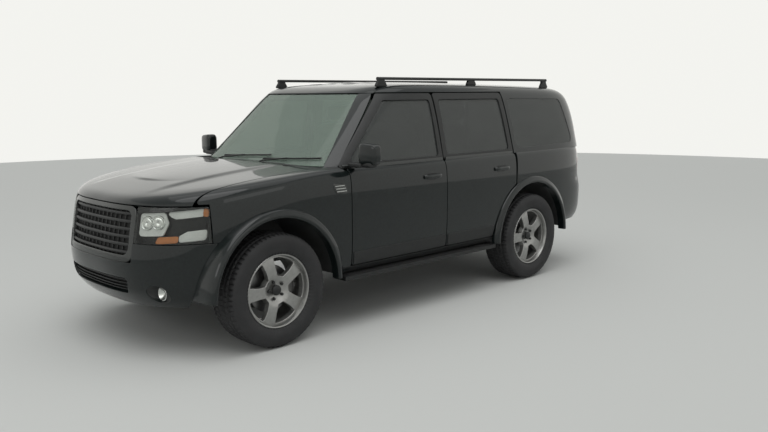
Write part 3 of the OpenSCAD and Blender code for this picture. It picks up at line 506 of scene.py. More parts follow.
# %% The finishes
paint = grain(material("black_clearcoat", (0.006, 0.009, 0.009), 0.30, 0.0, 0.9, Coat_Roughness=0.03,
    Coat_IOR=1.42, Specular_IOR_Level=0.10), 900, 0.012, 0.0003, 2, 0.25, (0.24, 0.34))
satin = grain(material("satin_black", (0.016, 0.017, 0.017), 0.42, Specular_IOR_Level=0.35), 420, 0.10,
              0.0006, 3, 0.15, (0.36, 0.50))
plastic = grain(material("grained_plastic", (0.030, 0.031, 0.031), 0.62), 380, 0.35, 0.0008, 3, 0.12,
                (0.54, 0.70))
seal = grain(material("rubber_seal", (0.012, 0.012, 0.012), 0.75), 260, 0.15, 0.0008, 2, 0.1, (0.68, 0.82))
rubber = grain(material("tyre_rubber", (0.020, 0.020, 0.021), 0.72), 160, 0.30, 0.0012, 4, 0.20, (0.62, 0.84))
alloy = grain(material("painted_alloy", (0.30, 0.30, 0.29), 0.32, 0.75, 0.5), 500, 0.03, 0.0004, 2, 0.08,
              (0.26, 0.38))
disc_iron = grain(material("brake_iron", (0.22, 0.22, 0.22), 0.38, 0.9), 300, 0.05, 0.0005, 3, 0.2,
                  (0.30, 0.48))
bright = grain(material("bright_trim", (0.34, 0.35, 0.34), 0.20, 0.95), 600, 0.02, 0.0003, 2, 0.06,
               (0.14, 0.24))
dark_bright = grain(material("dark_bright_trim", (0.045, 0.048, 0.047), 0.24, 0.8, 0.4), 600, 0.02, 0.0003, 2,
                    0.06, (0.18, 0.30))
mirror_metal = grain(material("reflector", (0.86, 0.87, 0.85), 0.16, 0.9), 400, 0.02, 0.0003, 2, 0.03,
    (0.10, 0.22))
lamp_white = grain(material("lamp_diffuser", (0.86, 0.87, 0.84), 0.25, 0.0, 0.6), 300, 0.08, 0.0004, 2, 0.04,
                   (0.20, 0.32))
amber = grain(material("amber_reflector", (0.62, 0.20, 0.035), 0.22, 0.0, 0.8), 500, 0.15, 0.0006, 1, 0.1,
              (0.16, 0.28))
red_lens = grain(material("red_lens", (0.34, 0.022, 0.020), 0.16, 0.0, 1.0), 500, 0.12, 0.0006, 1, 0.1,
                 (0.12, 0.22))
pink_lens = grain(material("pale_lens", (0.66, 0.52, 0.48), 0.18, 0.0, 0.9), 500, 0.12, 0.0006, 1, 0.05,
                  (0.12, 0.22))
chassis = grain(material("chassis_paint", (0.020, 0.020, 0.020), 0.55), 220, 0.20, 0.001, 4, 0.3,
                (0.46, 0.66))
castings = grain(material("cast_housings", (0.16, 0.16, 0.155), 0.55, 0.6), 260, 0.40, 0.001, 4, 0.25,
                 (0.46, 0.66))
pipe = grain(material("exhaust_steel", (0.30, 0.29, 0.27), 0.42, 0.9), 120, 0.10, 0.001, 4, 0.35,
             (0.34, 0.56))
leather = grain(material("seat_leather", (0.105, 0.095, 0.082), 0.50, 0.0, 0.0, Sheen_Weight=0.1), 330, 0.45,
                0.0009, 5, 0.18, (0.42, 0.60))
trim_dark = grain(material("cabin_trim", (0.045, 0.045, 0.044), 0.62), 300, 0.4, 0.0008, 4, 0.12,
                  (0.55, 0.72))
headliner = grain(material("headliner", (0.42, 0.41, 0.38), 0.9), 700, 0.3, 0.0008, 3, 0.05, (0.84, 0.95))
plate_finish = grain(material("plate_blank", (0.60, 0.60, 0.58), 0.45), 300, 0.05, 0.0005, 2, 0.03,
    (0.40, 0.50))

def glass_material(name, tint, rough=0.03, mix=0.55, body=0.5):
    """Tinted glass: light passes straight through a grey film, and the surface still mirrors. Its mirroring
    layer also has a pale matt colour, the tint times body, which is painted reflection of the bright room.
    """
    m = bpy.data.materials.new(name)
    m.use_nodes = True
    t = m.node_tree
    bsdf = t.nodes["Principled BSDF"]
    # The matt base colour is painted reflection: it makes the glass as pale as the reflected room would.
    bsdf.inputs["Base Color"].default_value = (*[c * body for c in tint], 1)
    bsdf.inputs["Roughness"].default_value = rough
    bsdf.inputs["Coat Weight"].default_value = 0.6
    clear = t.nodes.new("ShaderNodeBsdfTransparent")
    clear.inputs["Color"].default_value = (*tint, 1)
    noise = add(m, "ShaderNodeTexNoise", Scale=3.0, Detail=3.0)
    span = add(m, "ShaderNodeMapRange")
    span.inputs["To Min"].default_value, span.inputs["To Max"].default_value = mix - 0.04, mix + 0.04
    t.links.new(noise.outputs["Fac"], span.inputs["Value"])
    blend = t.nodes.new("ShaderNodeMixShader")
    t.links.new(span.outputs["Result"], blend.inputs[0])
    t.links.new(bsdf.outputs[0], blend.inputs[1])
    t.links.new(clear.outputs[0], blend.inputs[2])
    t.links.new(blend.outputs[0], t.nodes["Material Output"].inputs["Surface"])
    return m

# The last number of each sets how pale the painted reflection in the glass's matt colour is.
screen_glass = glass_material("screen_glass", (0.70, 0.83, 0.74), 0.03, 0.62, 0.42)
side_glass = glass_material("privacy_glass", (0.27, 0.29, 0.28), 0.03, 0.62, 0.45)
lamp_glass = glass_material("lamp_glass", (0.95, 0.96, 0.95), 0.02, 0.86, 0.05)
print(len(bpy.data.materials), "finishes")

# %% [markdown]
# ## Doors
# Each door is a pressed outer skin, a window frame above it and a thick inner panel with the trim.
# The outlines are drawn in side view and laid on the two skins. The pair meets at the waist, under
# a rubber strip, as on the real door.

# %% Door outlines
shrink = 0.0025
pillar_w = 0.118
def pillar_x(z):
    return x_cowl - pillar_w - screen_run * 1.04 * (z - belt_z) / (roof_z - belt_z)

gap = 0.0035
def front_door_outline(g):
    low = door_low - g
    return [(x_fdoor + g, low), (x_fdoor + g, belt_z - 0.040), (pillar_x(belt_z) + g * 1.4, belt_z + 0.008),
           (pillar_x(door_high) + g * 1.4, door_high + g), (x_bpillar + gap + 0.011 - g, door_high + g),
           (x_bpillar + gap - g, belt_z - 0.060), (x_bpillar + gap - g, low)]

def rear_door_outline(g):
    pts = [(x_bpillar - gap + g, door_low - g), (x_bpillar - gap + g, door_high + g),
           (x_rdoor + 0.030 - g, door_high + g), (x_rdoor - g, belt_z)]
    r = arch_r + flare_w + 0.011 - g
    top = math.degrees(math.acos(np.clip((x_rdoor - g - axle_r) / r, -1, 1)))
    bottom = math.degrees(math.asin((door_low - g - axle_z) / r))
    return pts + arc(axle_r, axle_z, r, top, bottom, 16)

def clip(points, z, above):
    """The part of an outline above or below a height."""
    out, n = [], len(points)
    for i in range(n):
        p, q = points[i], points[(i + 1) % n]
        pin, qin = (p[1] >= z) == above, (q[1] >= z) == above
        if pin:
            out.append(p)
        if pin != qin:
            t = (z - p[1]) / (q[1] - p[1])
            out.append((p[0] + (q[0] - p[0]) * t, z))
    return out

frame_w = 0.052
front_window = [(pillar_x(belt_z) - frame_w * 1.5, belt_z + 0.022),
                (pillar_x(door_high) - frame_w * 0.6, door_high - frame_w),
                (x_bpillar + frame_w, door_high - frame_w), (x_bpillar + frame_w, belt_z + 0.022)]
rear_window = [(x_bpillar - frame_w, belt_z + 0.024), (x_bpillar - frame_w, door_high - frame_w),
               (x_rdoor + frame_w + 0.030, door_high - frame_w), (x_rdoor + frame_w, belt_z + 0.026)]
seam_z = belt_z - 0.014

def on(skin, loop):
    loop = np.asarray(loop)
    return skin.from_xz(loop[:, 0], loop[:, 1])

# %% [markdown]
# A real door is a pressed skin, a pane that slides behind it, a rubber strip along the waist and a lining.
# One solid with painted lines would look flat when the door swings. So these are four pieces on one body, and
# the right door is the left one's mirror image.

# %% Build the doors
def swept_strip(name, path, normals, section, mat):
    """A small section carried along a path; its first axis is the path's normal."""
    path, normals = np.asarray(path, float), np.asarray(normals, float)
    n, m = len(path), len(section)
    t = np.roll(path, -1, 0) - np.roll(path, 1, 0)
    t[0], t[-1] = path[1] - path[0], path[-1] - path[-2]
    t /= np.maximum(np.linalg.norm(t, axis=1, keepdims=True), 1e-12)
    side = np.cross(t, normals)
    side /= np.maximum(np.linalg.norm(side, axis=1, keepdims=True), 1e-12)
    verts = [path[i] + normals[i] * s[0] + side[i] * s[1] for i in range(n) for s in section]
    faces = [(i * m + j, i * m + (j + 1) % m, ((i + 1) % n) * m + (j + 1) % m, ((i + 1) % n) * m + j)
             for i in range(n - 1) for j in range(m)]
    faces += [tuple(range(m))[::-1], tuple((n - 1) * m + j for j in range(m))]
    ob = mesh_object(name, verts, faces, None, mat)
    ob.data.set_sharp_from_angle(angle=math.radians(40))
    return ob

slots = {"glass": "window_glass", "strip": "trim_plastic", "inner": "trim_plastic"}
for kind, draw, window in (("front", front_door_outline, front_window),
        ("rear", rear_door_outline, rear_window)):
    full = draw(-shrink)
    skin_loop = rounded(clip(full, seam_z, False), 0.020)
    frame_loop = rounded(clip(full, seam_z, True), 0.026)
    glass_loop = rounded(window, 0.026 if kind == "front" else 0.030)
    inner_loop = rounded(clip(draw(-0.060), seam_z - 0.004, False), 0.040)
    made = {
        "skin": panel(f"{kind}_door_skin_left", lower, [on(lower, skin_loop)], 0.034, paint),
        "frame": panel(f"{kind}_door_frame_left", cabin, [on(cabin, frame_loop), on(cabin, glass_loop)],
                       0.036, satin, step=0.03),
        "inner": panel(f"{kind}_door_trim_left", lower, [on(lower, inner_loop)], 0.112, trim_dark, roll=0.006,
                       start=0.0345, step=0.05),
        "glass": panel(f"{kind}_door_window_left", cabin, [on(cabin, rounded(window, 0.03))], 0.016,
                       side_glass, roll=0.0008, start=0.011, step=0.05),
    }
    x0, x1 = skin_loop[:, 0].min() + 0.012, skin_loop[:, 0].max() - 0.012
    if kind == "front":
        x1 = pillar_x(belt_z) - 0.03
    xs = np.linspace(x0 if kind == "front" else x0 + 0.01, x1, 40)
    ab = cabin.from_xz(xs, np.full(40, belt_z - 0.002))
    strip = swept_strip(f"{kind}_waist_strip_left", cabin.point(*ab.T), cabin.normal(*ab.T),
                        [(-0.004, -0.020), (0.006, -0.016), (0.009, 0.0), (0.006, 0.012), (-0.004, 0.016)],
                        dark_bright)
    made["strip"] = strip
    for part, ob in made.items():
        body = f"{kind}_door_left"
        replaced = {"skin": [body], "glass": [f"{kind}_door_glass_left"]}.get(part, [])
        slot = slots.get(part, "body_paint")
        both(ob, body, slot, *replaced)
print("doors made")

# %% [markdown]
# ## Fenders, quarter panels and flares
# The front fender runs from the door to the lamp and up to the hood's edge. The quarter panel runs
# from the rear door to the tail lamp and carries the D-pillar with its wrapped window. Around each
# wheel a flare stands out from the body. It is a section swept around the arch, blended to the skin.

# %% Outlines of the fixed sides
hood_x0, hood_side = x_cowl + 0.085, half_w - 0.178
hood_cut, lamp_low, lamp_back = nose_z - 0.038, nose_z - 0.285, x_nose - 0.440
lamp_high, grille_low, grille_half = hood_cut - 0.007, sill_z + 0.230, 0.470
gate_half, gate_low = half_w - 0.250, sill_z + 0.250
gate_hinge = x_tail + 0.050 + tail_run * 2.1

def hood_edge(x):
    return hood_side + 0.012 - 0.062 * np.maximum(0, x - hood_x0) / (x_nose + 0.1 - hood_x0)

def along(skin, x0, z0, x1, z1, count=24):
    t = np.linspace(0, 1, count)
    return skin.from_xz(x0 + (x1 - x0) * t, z0 + (z1 - z0) * t)

def around(skin, y0, z0, y1, z1, end, count=24):
    t = np.linspace(0, 1, count)
    return skin.from_yz(y0 + (y1 - y0) * t, z0 + (z1 - z0) * t, end)

def side_at(skin, x, z):
    """Flat coordinates of one point seen from the side."""
    return skin.from_xz(np.array([x]), np.array([z]))[0]

def end_at(skin, y, z, end):
    """The same for one point seen from the front (end = 1) or from behind (end = -1)."""
    return skin.from_yz(np.array([y]), np.array([z]), end)[0]

def circle_xz(cx, r, a0, a1, count=60):
    p = np.array(arc(cx, axle_z, r, a0, a1, count))
    return lower.from_xz(p[:, 0], p[:, 1])

def corners(loop, radius=0.012):
    return rounded(apart(loop, 1e-4), radius)

# %% [markdown]
# The fender and the quarter panel are large pressings that stop at the neighbours' shut lines. Each could be
# modelled by hand around the wheel. Here the outline is joined from straight runs, the neighbours' own edges
# and the arch's circle, so that every seam keeps the same width.

# %% Fender skins
# Half of the seam that stays open between two painted edges
e = 0.0025
flare_r = arch_r + flare_w - 0.006
xs = np.linspace(0.965, x_nose - 0.150, 60)
top_ab, _, _ = lower.from_xy(xs, hood_edge(xs) + 0.007 + e)
top_z = lower.point(*top_ab.T)[:, 2]
keep = top_z > hood_cut + 0.007 + e
tip = lower.point(*top_ab[keep][-1])
lamp_x = lamp_back - 0.001 - e
a_start = math.degrees(math.asin((lamp_low + 0.001 + e - axle_z) / flare_r))
a_end = 180 + math.degrees(math.asin((axle_z - sill_z - 0.012) / flare_r))
fender_loop = np.concatenate([
    along(lower, x_fdoor + 0.007 + e, sill_z + 0.012, x_fdoor + 0.007 + e, belt_z - 0.042, 30),
    along(lower, x_fdoor + 0.007 + e, belt_z - 0.042, 0.960, belt_z - 0.010, 6)[1:],
    top_ab[keep],
    lower.from_xz(np.linspace(tip[0], lamp_x, 30)[1:], np.full(29, hood_cut + 0.007 + e)),
    along(lower, lamp_x, hood_cut + 0.007 + e, lamp_x, lamp_low + 0.001 + e, 12)[1:],
    circle_xz(axle_f, flare_r, a_start, a_end, 70)])
fender = panel("fender_left", lower, [spaced(fender_loop, 0.014)], 0.024, paint, step=0.024)

qx = x_rdoor - 0.013 - e
seam_q = belt_z - 0.010
a_q0 = math.degrees(math.acos((qx - axle_r) / flare_r))
a_q1 = 180 - math.degrees(math.asin((gate_low - 0.058 - axle_z) / flare_r))
bx = axle_r + flare_r * math.cos(math.radians(a_q1))
lamp_z0, lamp_z1, lamp_x0 = belt_z - 0.250 - e, belt_z - 0.022 + e, x_tail + 0.230 + e
gate_y = gate_half + 0.056 + 0.013 + e

def to_gate(z):
    """The point at one height beside the tailgate's gap."""
    return end_at(lower, gate_y, z, -1)

def level(p, q, count=24):
    """Points spread evenly from one flat point to another."""
    t = np.linspace(0, 1, count)[:, None]
    return p + (q - p) * t

p_low = to_gate(gate_low - 0.058)
p_l0, p_l1, p_top = to_gate(lamp_z0), to_gate(lamp_z1), to_gate(seam_q)
l0, l1 = lower.from_xz(np.array([lamp_x0, lamp_x0]), np.array([lamp_z0, lamp_z1]))
quarter_loop = np.concatenate([
    circle_xz(axle_r, flare_r, a_q0, a_q1, 60),
    level(side_at(lower, bx, gate_low - 0.058), p_low)[1:],
    level(p_low, p_l0)[1:], level(p_l0, l0)[1:], level(l0, l1)[1:],
    level(l1, p_l1)[1:], level(p_l1, p_top, 4)[1:],
    level(p_top, side_at(lower, qx, seam_q), 60)[1:-1]])
quarter = panel("quarter_panel_left", lower, [spaced(quarter_loop, 0.014)], 0.024, paint, step=0.024)

# %% [markdown]
# Above the waist the pillars and the roof's side rail are one pressing around the glass. Separate bars would
# show joints that the real body doesn't have. So it is one panel with the window as a hole in it, and the
# glass is a second panel a few millimetres below.

# %% Cabin side: pillars and cant rail
roof_in = half_w - 0.296
screen_z = belt_z + (roof_z - belt_z) * 0.86
def screen_y(z):
    return half_w - 0.215 - 0.175 * (z - belt_z - 0.008) / (screen_z - belt_z - 0.008)
zs = np.linspace(belt_z - 0.008, screen_z, 40)
front_edge = cabin.from_yz(screen_y(zs) + 0.002, zs, 1)
head = cabin.from_yz(np.array([roof_in + 0.001]), np.array([screen_z + 0.004]), 1)
rx = np.linspace(cabin.point(*head[0])[0] - 0.02, gate_hinge + 0.007, 80)
cant, _, _ = cabin.from_xy(rx, np.full(80, roof_in + 0.001))
y_step_in = np.linspace(roof_in, gate_half - 0.120 + 0.013 + e, 6)
step_in, _, _ = cabin.from_xy(np.full(6, gate_hinge + 0.007), y_step_in)
gz = np.linspace(roof_z - 0.060, seam_q, 40)
gy = np.interp(gz, [belt_z, roof_z - 0.060], [gate_half + 0.060, gate_half - 0.120]) + 0.013 + e
gate_edge = cabin.from_yz(gy, gz, -1)
fd = [(x_bpillar - 0.02, door_high + 0.007 + e), (pillar_x(door_high) + 0.010, door_high + 0.007 + e),
      (pillar_x(belt_z) + 0.012, seam_q)]
side_loop = np.concatenate([
    front_edge, head, cant, step_in, gate_edge,
    along(cabin, cabin.point(*gate_edge[-1])[0] + 0.2, seam_q, qx, seam_q, 40),
    along(cabin, qx, seam_q, x_rdoor + 0.030 - 0.013 - e, door_high + 0.007 + e, 24)[1:],
    along(cabin, x_rdoor + 0.017, door_high + 0.007 + e, fd[1][0], fd[1][1], 60)[1:],
    along(cabin, *fd[1], *fd[2], 30)[1:]])
side_loop = apart(side_loop, 2e-4)
qx0, qx1 = x_rdoor - 0.058, x_tail + 0.330
quarter_window = rounded([(qx0, belt_z + 0.030), (qx0 + 0.022, door_high - frame_w),
                          (qx1 + 0.120, door_high - frame_w - 0.012), (qx1, belt_z + 0.040)], 0.060)
cabin_side = panel("cabin_side_left", cabin, [spaced(side_loop, 0.014), on(cabin, quarter_window)], 0.034,
                   paint, step=0.024)
quarter_light = panel("quarter_window_left", cabin, [on(cabin, quarter_window)], 0.014, side_glass,
    roll=0.0008, start=0.004, step=0.05)
for ob, slot, replaced in ((fender, "body_paint", "front_fenders"), (quarter, "body_paint", "body_sides"),
                           (cabin_side, "body_paint", "body_sides"),
                           (quarter_light, "window_glass", "quarter_glass")):
    both(ob, "body", slot, replaced)
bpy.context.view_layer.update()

# %% [markdown]
# A flare is the raised lip around a wheel opening that shields the tyre. A bevel can't give its soft blend
# into the door line. So ten rows of points run around the arch, and a share of each row's place is taken from
# the skin: none at the lip and all of it at the outer edge.

# %% Flares
def skin_y(x, z):
    return lower.point(*lower.from_xz(x, z).T)[:, 1]

def flare(name, cx, a0, a1):
    angles = np.radians(np.linspace(a0, a1, 90))
    rows = []
    for r, stand, mix in ((arch_r, -0.075, 0), (arch_r, -0.016, 0), (arch_r + 0.002, -0.008, 0),
            (arch_r + 0.007, -0.003, 0),
                         (arch_r + 0.018, -0.001, 0), (arch_r + 0.034, -0.004, 0.02),
                         (arch_r + 0.046, -0.010, 0.10),
                         (arch_r + 0.055, 0, 0.42), (arch_r + 0.061, 0, 0.86), (arch_r + 0.063, -0.004, 1.0)):
        x, z = cx + r * np.cos(angles), axle_z + r * np.sin(angles)
        zc = np.maximum(z, low_edge(x) + 0.03)
        ys = skin_y(x, zc)
        face = np.full_like(x, half_w) + stand
        rows.append(np.stack([x, face * (1 - mix) + (ys + (stand if mix == 1 else 0.002)) * mix, z], -1))
    return patch(name, np.array(rows), 0.004, paint, 0.001, (0, 1, 0), 3)

bottom_f = math.degrees(math.asin((sill_z - 0.020 - axle_z) / arch_r))
for ob, node in ((flare("front_flare_left", axle_f, bottom_f, 180 - bottom_f), "front_fenders"),
                 (flare("rear_flare_left", axle_r, bottom_f, 180 - bottom_f), "body_sides")):
    both(ob, "body", "body_paint", node)

# %% [markdown]
# The rocker is the plastic cover of the sill below the doors, between the two flares. It is flush with the
# body, so it is cut from the same skin as the doors, from one arch to the other.

# %% Rockers
rx0, rx1 = axle_r + arch_r + 0.045, axle_f - arch_r - 0.020
rocker = panel("rocker_left", lower, [corners(np.concatenate([
    along(lower, rx0, low_edge(0.0) + 0.002, rx1, low_edge(0.0) + 0.002, 40),
    along(lower, rx1, door_low - 0.010, rx0 + 0.01, door_low - 0.010, 40)]), 0.01)],
    0.05, satin, step=0.03)
both(rocker, "body", "body_paint", "body_sides")

# %% [markdown]
# ## Hood and roof
# These two are nearly flat sheets with turned-down edges, so each is a grid of four sides: rows
# across the vehicle, columns from front to back. The hood's centre stands a little proud between
# two creases, which stiffens a real hood. The roof has shallow ribs for the same reason.

# %% Top sheets
def by_length(line, count):
    """The same line with its points spread evenly along it."""
    s = np.concatenate([[0], np.cumsum(np.linalg.norm(np.diff(line, axis=0), axis=1))])
    q = np.linspace(0, s[-1], count)
    return np.stack([np.interp(q, s, line[:, i]) for i in range(3)], -1)

def roof_column(y, x_back, x_turn, z_end, crown, count):
    """One line of points from the roof's back edge forwards and down to the windshield."""
    xs = np.linspace(x_back, x_turn, 160)
    z = cabin.height(xs, np.full(160, y), crown)
    zz = np.linspace(z[-1], z_end, 80)[1:]
    p = cabin.point(*cabin.from_yz(np.full(79, abs(y)), zz, 1).T)
    return by_length(np.concatenate([np.stack([xs, np.full(160, y), z], -1),
                                     np.stack([p[:, 0], np.full(79, y), zz], -1)]), count)

vs = np.linspace(-1, 1, 81)
cols = []
for v in vs:
    back, front = hood_x0 + 0.004 + 0.028 * (1 - v * v), x_nose - 0.05
    for _ in range(6):
        y_end = abs(v) * (float(hood_edge(front)) - e)
        front = float(lower.point(*end_at(lower, y_end, hood_cut + e, 1))[0])
    xs = back + (front - back) * (1 - (1 - np.linspace(0, 1, 400)) ** 1.6)
    ys = v * (hood_edge(xs) - e)
    col = by_length(np.stack([xs, ys, lower.height(xs, ys, 0.010)], -1), 110)
    dome = 0.011 * smooth01((0.50 - abs(col[:, 1]) - 0.04 * (col[:, 0] - hood_x0)) / 0.07)
    dome *= smooth01((x_nose - 0.16 - col[:, 0]) / 0.30) * smooth01((col[:, 0] - hood_x0) / 0.12)
    col[:, 2] += dome
    cols.append(col)
hood = patch("hood_skin", np.array(cols), 0.036, paint, 0.003)
place(hood, "hood", "body_paint", "hood")

cols = []
for v in vs:
    y = v * (roof_in - 0.002 - e)
    ab = cabin.from_yz(np.array([abs(y)]), np.array([screen_z + 0.006 + e]), 1)
    x_head = cabin.point(*ab[0])[0]
    col = roof_column(y, gate_hinge + 0.010, x_head - 0.14, screen_z + 0.006 + e, 0.012, 150)
    ribs = 0.003 * np.cos(y * 26) * smooth01((0.55 - abs(y)) / 0.1)
    col[:, 2] += ribs * smooth01((x_head - 0.30 - col[:, 0]) / 0.12) * smooth01((col[:,
        0] - gate_hinge - 0.12) / 0.12)
    cols.append(col)
roof = patch("roof_skin", np.array(cols), 0.030, paint, 0.003)
place(roof, "body", "body_paint", "roof")
print("hood and roof", len(hood.data.vertices), len(roof.data.vertices))

# %% [markdown]
# ## Windshield, cowl and tailgate
# Glass that bends two ways is cut from the cabin skin like any panel, only thinner. The cowl is a
# dark plastic tray between the hood and the glass, and the two wipers rest on it.

# %% Windshield
def across(left, skin, end):
    """Closes a left outline with its mirror image on the other side."""
    turn = 2 * (skin.nose_end if end > 0 else skin.tail_end)
    right = left[::-1].copy()
    right[:, 0] = turn - right[:, 0]
    return np.concatenate([left, right])

zs = np.linspace(belt_z + 0.008, screen_z, 40)
edge = cabin.from_yz(screen_y(zs) - 0.003, zs, 1)
bottom = cabin.from_yz(np.linspace(0.0, float(screen_y(zs[0])) - 0.003, 24)[:-1], np.full(23, belt_z + 0.008),
    1)
top = cabin.from_yz(np.linspace(float(screen_y(screen_z)) - 0.003, 0.0, 20)[1:], np.full(19, screen_z), 1)
half = np.concatenate([bottom, edge, top])
screen_loop = across(half, cabin, 1)
screen_loop = apart(screen_loop, 1e-4)
windshield = panel("windshield_glass", cabin, [spaced(screen_loop, 0.02)], 0.012, screen_glass, roll=0.0008,
                   start=0.006, step=0.04)
place(windshield, "body", "window_glass", "windshield")

# %% [markdown]
# The cowl is a black grille below the windshield where air enters, and the wipers rest on it. Arms and blades
# are thin and bent, so they are sections swept along a few points laid on the glass, which keeps them at one
# height above it. A straight bar would sink into the curve.

# %% Cowl and wipers
cols = []
for v in np.linspace(-1, 1, 61):
    y = v * (hood_side + 0.012)
    xb = float(cabin.point(*end_at(cabin, min(abs(y), 0.80), belt_z, 1))[0]) - 0.10
    xb = max(xb, 0.955)
    xs = np.linspace(xb, hood_x0 + 0.028 * (1 - v * v) - 0.008, 12)
    cols.append(np.stack([xs, np.full(12, y), lower.height(xs, np.full(12, y), 0.010) - 0.010], -1))
cowl = patch("cowl_tray", np.array(cols), 0.02, plastic, 0.002)
place(cowl, "body", "trim_plastic", "front_fenders")

def tube(name, points, radius, mat, sides=10):
    """A round bar along a few points."""
    pts = np.array(points, float)
    up = np.tile([0, 0, 1.0], (len(pts), 1))
    t = np.gradient(pts, axis=0)
    n = up - t * (np.sum(up * t, 1) / np.maximum(np.sum(t * t, 1), 1e-12))[:, None]
    bad = np.linalg.norm(n, axis=1) < 1e-3 * np.linalg.norm(t, axis=1)
    n[bad] = [0, 1, 0]
    n /= np.maximum(np.linalg.norm(n, axis=1, keepdims=True), 1e-12)
    turn = np.linspace(0, 2 * math.pi, sides, endpoint=False)
    return swept_strip(name, pts, n, [(radius * math.cos(k), radius * math.sin(k)) for k in turn], mat)

for k, y0 in enumerate((0.10, -0.46)):
    t = np.linspace(0, 1, 20)
    ys = y0 + 0.62 * t
    zs = belt_z + 0.030 + 0.030 * t
    p = cabin.point(*cabin.from_yz(np.abs(ys), zs, 1).T)
    p[:, 1] = ys
    p[:, 0] += 0.010
    blade = tube(f"wiper_blade_{k + 1}", p, 0.006, seal, 6)
    arm = tube(f"wiper_arm_{k + 1}", [(hood_x0 - 0.01, y0 - 0.02, belt_z + 0.004),
        (hood_x0 - 0.02, y0 + 0.05, belt_z + 0.022), (p[9][0] + 0.012, p[9][1], p[9][2] + 0.004)], 0.006,
        satin, 8)
    for ob in (blade, arm):
        place(ob, "body", "trim_plastic")

# %% [markdown]
# The tailgate is one large door with a pane in its upper half and a hollow for the plate. It crosses both
# skins at the waist, so it is made as two panels that meet there, with the glass, the plate and the handle as
# pieces of their own that swing with it.

# %% Tailgate
gl = gate_low + e
gate_y_low = gate_half + 0.056 - e
seam_g = belt_z - 0.012
side_edge = around(lower, gate_y_low, gl, gate_y_low, seam_g, -1, 26)
low_half = np.concatenate([lower.from_yz(np.linspace(0.0, gate_y_low, 40)[:-1], np.full(39, gl), -1),
    side_edge,
                           lower.from_yz(np.linspace(gate_y_low, 0.0, 40)[1:], np.full(39, seam_g), -1)])
gate_lower = panel("tailgate_skin", lower, [spaced(across(low_half, lower, -1), 0.016)], 0.040, paint,
                   step=0.03)
gz = np.linspace(seam_g, roof_z - 0.060, 40)
gy = np.interp(gz, [belt_z, roof_z - 0.060], [gate_half + 0.060, gate_half - 0.120]) - e
up_edge = cabin.from_yz(gy, gz, -1)
x_up = np.linspace(cabin.point(*up_edge[-1])[0] + 0.004, gate_hinge - e, 12)
over_edge, _, _ = cabin.from_xy(x_up, np.full(12, gate_half - 0.120 - e))
top_edge, _, _ = cabin.from_xy(np.full(29, gate_hinge - e), np.linspace(gate_half - 0.120 - e, 0.0, 30)[1:])
up_half = np.concatenate([cabin.from_yz(np.linspace(0.0, gy[0], 40)[:-1], np.full(39, seam_g), -1), up_edge,
    over_edge, top_edge])
up_loop = across(up_half, cabin, -1)
up_loop = apart(up_loop, 2e-4)
win = rounded([(gate_half - 0.030, belt_z + 0.070), (gate_half - 0.120, roof_z - 0.175),
               (-gate_half + 0.120, roof_z - 0.175), (-gate_half + 0.030, belt_z + 0.070)], 0.050)

def yz_loop(skin, loop, end):
    ab = skin.from_yz(np.abs(loop[:, 0]), loop[:, 1], end)
    turn = 2 * (skin.nose_end if end > 0 else skin.tail_end)
    ab[:, 0] = np.where(loop[:, 0] < 0, turn - ab[:, 0], ab[:, 0])
    return ab

gate_win = yz_loop(cabin, win, -1)
gate_upper = panel("tailgate_frame", cabin, [spaced(up_loop, 0.016), gate_win], 0.040, paint, step=0.03)
gate_glass = panel("tailgate_window", cabin, [gate_win], 0.014, side_glass, roll=0.0008, start=0.004,
                   step=0.05)
place(gate_lower, "tailgate", "body_paint", "tailgate")
place(gate_upper, "tailgate", "body_paint", "tailgate")
place(gate_glass, "tailgate", "window_glass", "tailgate_glass")
plate_recess = yz_loop(lower, rounded([(0.30, 0.800), (0.30, 0.945), (-0.30, 0.945), (-0.30, 0.800)], 0.02),
    -1)
recess = panel("plate_recess", lower, [plate_recess], 0.006, satin, roll=0.004, start=-0.002, step=0.03)
plate = panel("rear_plate", lower, [yz_loop(lower, rounded([(0.260, 0.815), (0.260, 0.927), (-0.260, 0.927),
    (-0.260, 0.815)], 0.01), -1)], -0.001, plate_finish, roll=0.001, start=-0.006, step=0.04)
handle = panel("tailgate_handle", lower, [yz_loop(lower,
    rounded([(0.34, 0.962), (0.34, 0.998), (-0.34, 0.998), (-0.34, 0.962)], 0.016), -1)], 0.0, bright,
    roll=0.006, start=-0.014, step=0.03)
for ob in (recess, plate, handle):
    place(ob, "tailgate", "trim_plastic")

# %% [markdown]
# ## Bumpers
# Both bumpers are plastic covers that carry the body's shape around its lower corners. The front
# one has the opening of the grille, a recess for each fog lamp and an air intake below.

# %% Front bumper
bump_r = arch_r + flare_w + 0.003
top_b = lamp_low - 0.001 - e
a0 = math.degrees(math.asin((top_b - axle_z) / bump_r))
a1 = math.degrees(math.asin((low_edge(np.array(axle_f + bump_r)) + 0.012 - axle_z) / bump_r))
p_side = circle_xz(axle_f, bump_r, a1, a0, 34)
lamp_in = end_at(lower, grille_half - e, top_b, 1)
top_run = level(p_side[-1], lamp_in, 60)[1:]
g_low = grille_low - e
grille_side = around(lower, grille_half - e, top_b, grille_half - e, g_low, 1, 10)[1:]
gl_run = lower.from_yz(np.linspace(grille_half - e, 0.0, 30)[1:], np.full(29, g_low), 1)
bottom_nose = lower.from_yz(np.linspace(0.0, 0.9, 40), np.full(40, float(low_edge(np.array(x_nose))) + 0.012),
    1)
low_run = np.stack([np.linspace(lower.nose_end, p_side[0][0], 60)[:-1],
                    np.linspace(bottom_nose[0][1], p_side[0][1], 60)[:-1]], -1)
half = np.concatenate([low_run, p_side, top_run, grille_side, gl_run])
bump_loop = across(half, lower, 1)
bump_loop = apart(bump_loop, 2e-4)
fog_z, fog_y = sill_z + 0.024, half_w - 0.370

def ring(y, z, r, n=40):
    t = np.linspace(0, 2 * math.pi, n, endpoint=False)
    return np.stack([y + r * np.cos(t), z + r * np.sin(t)], -1)

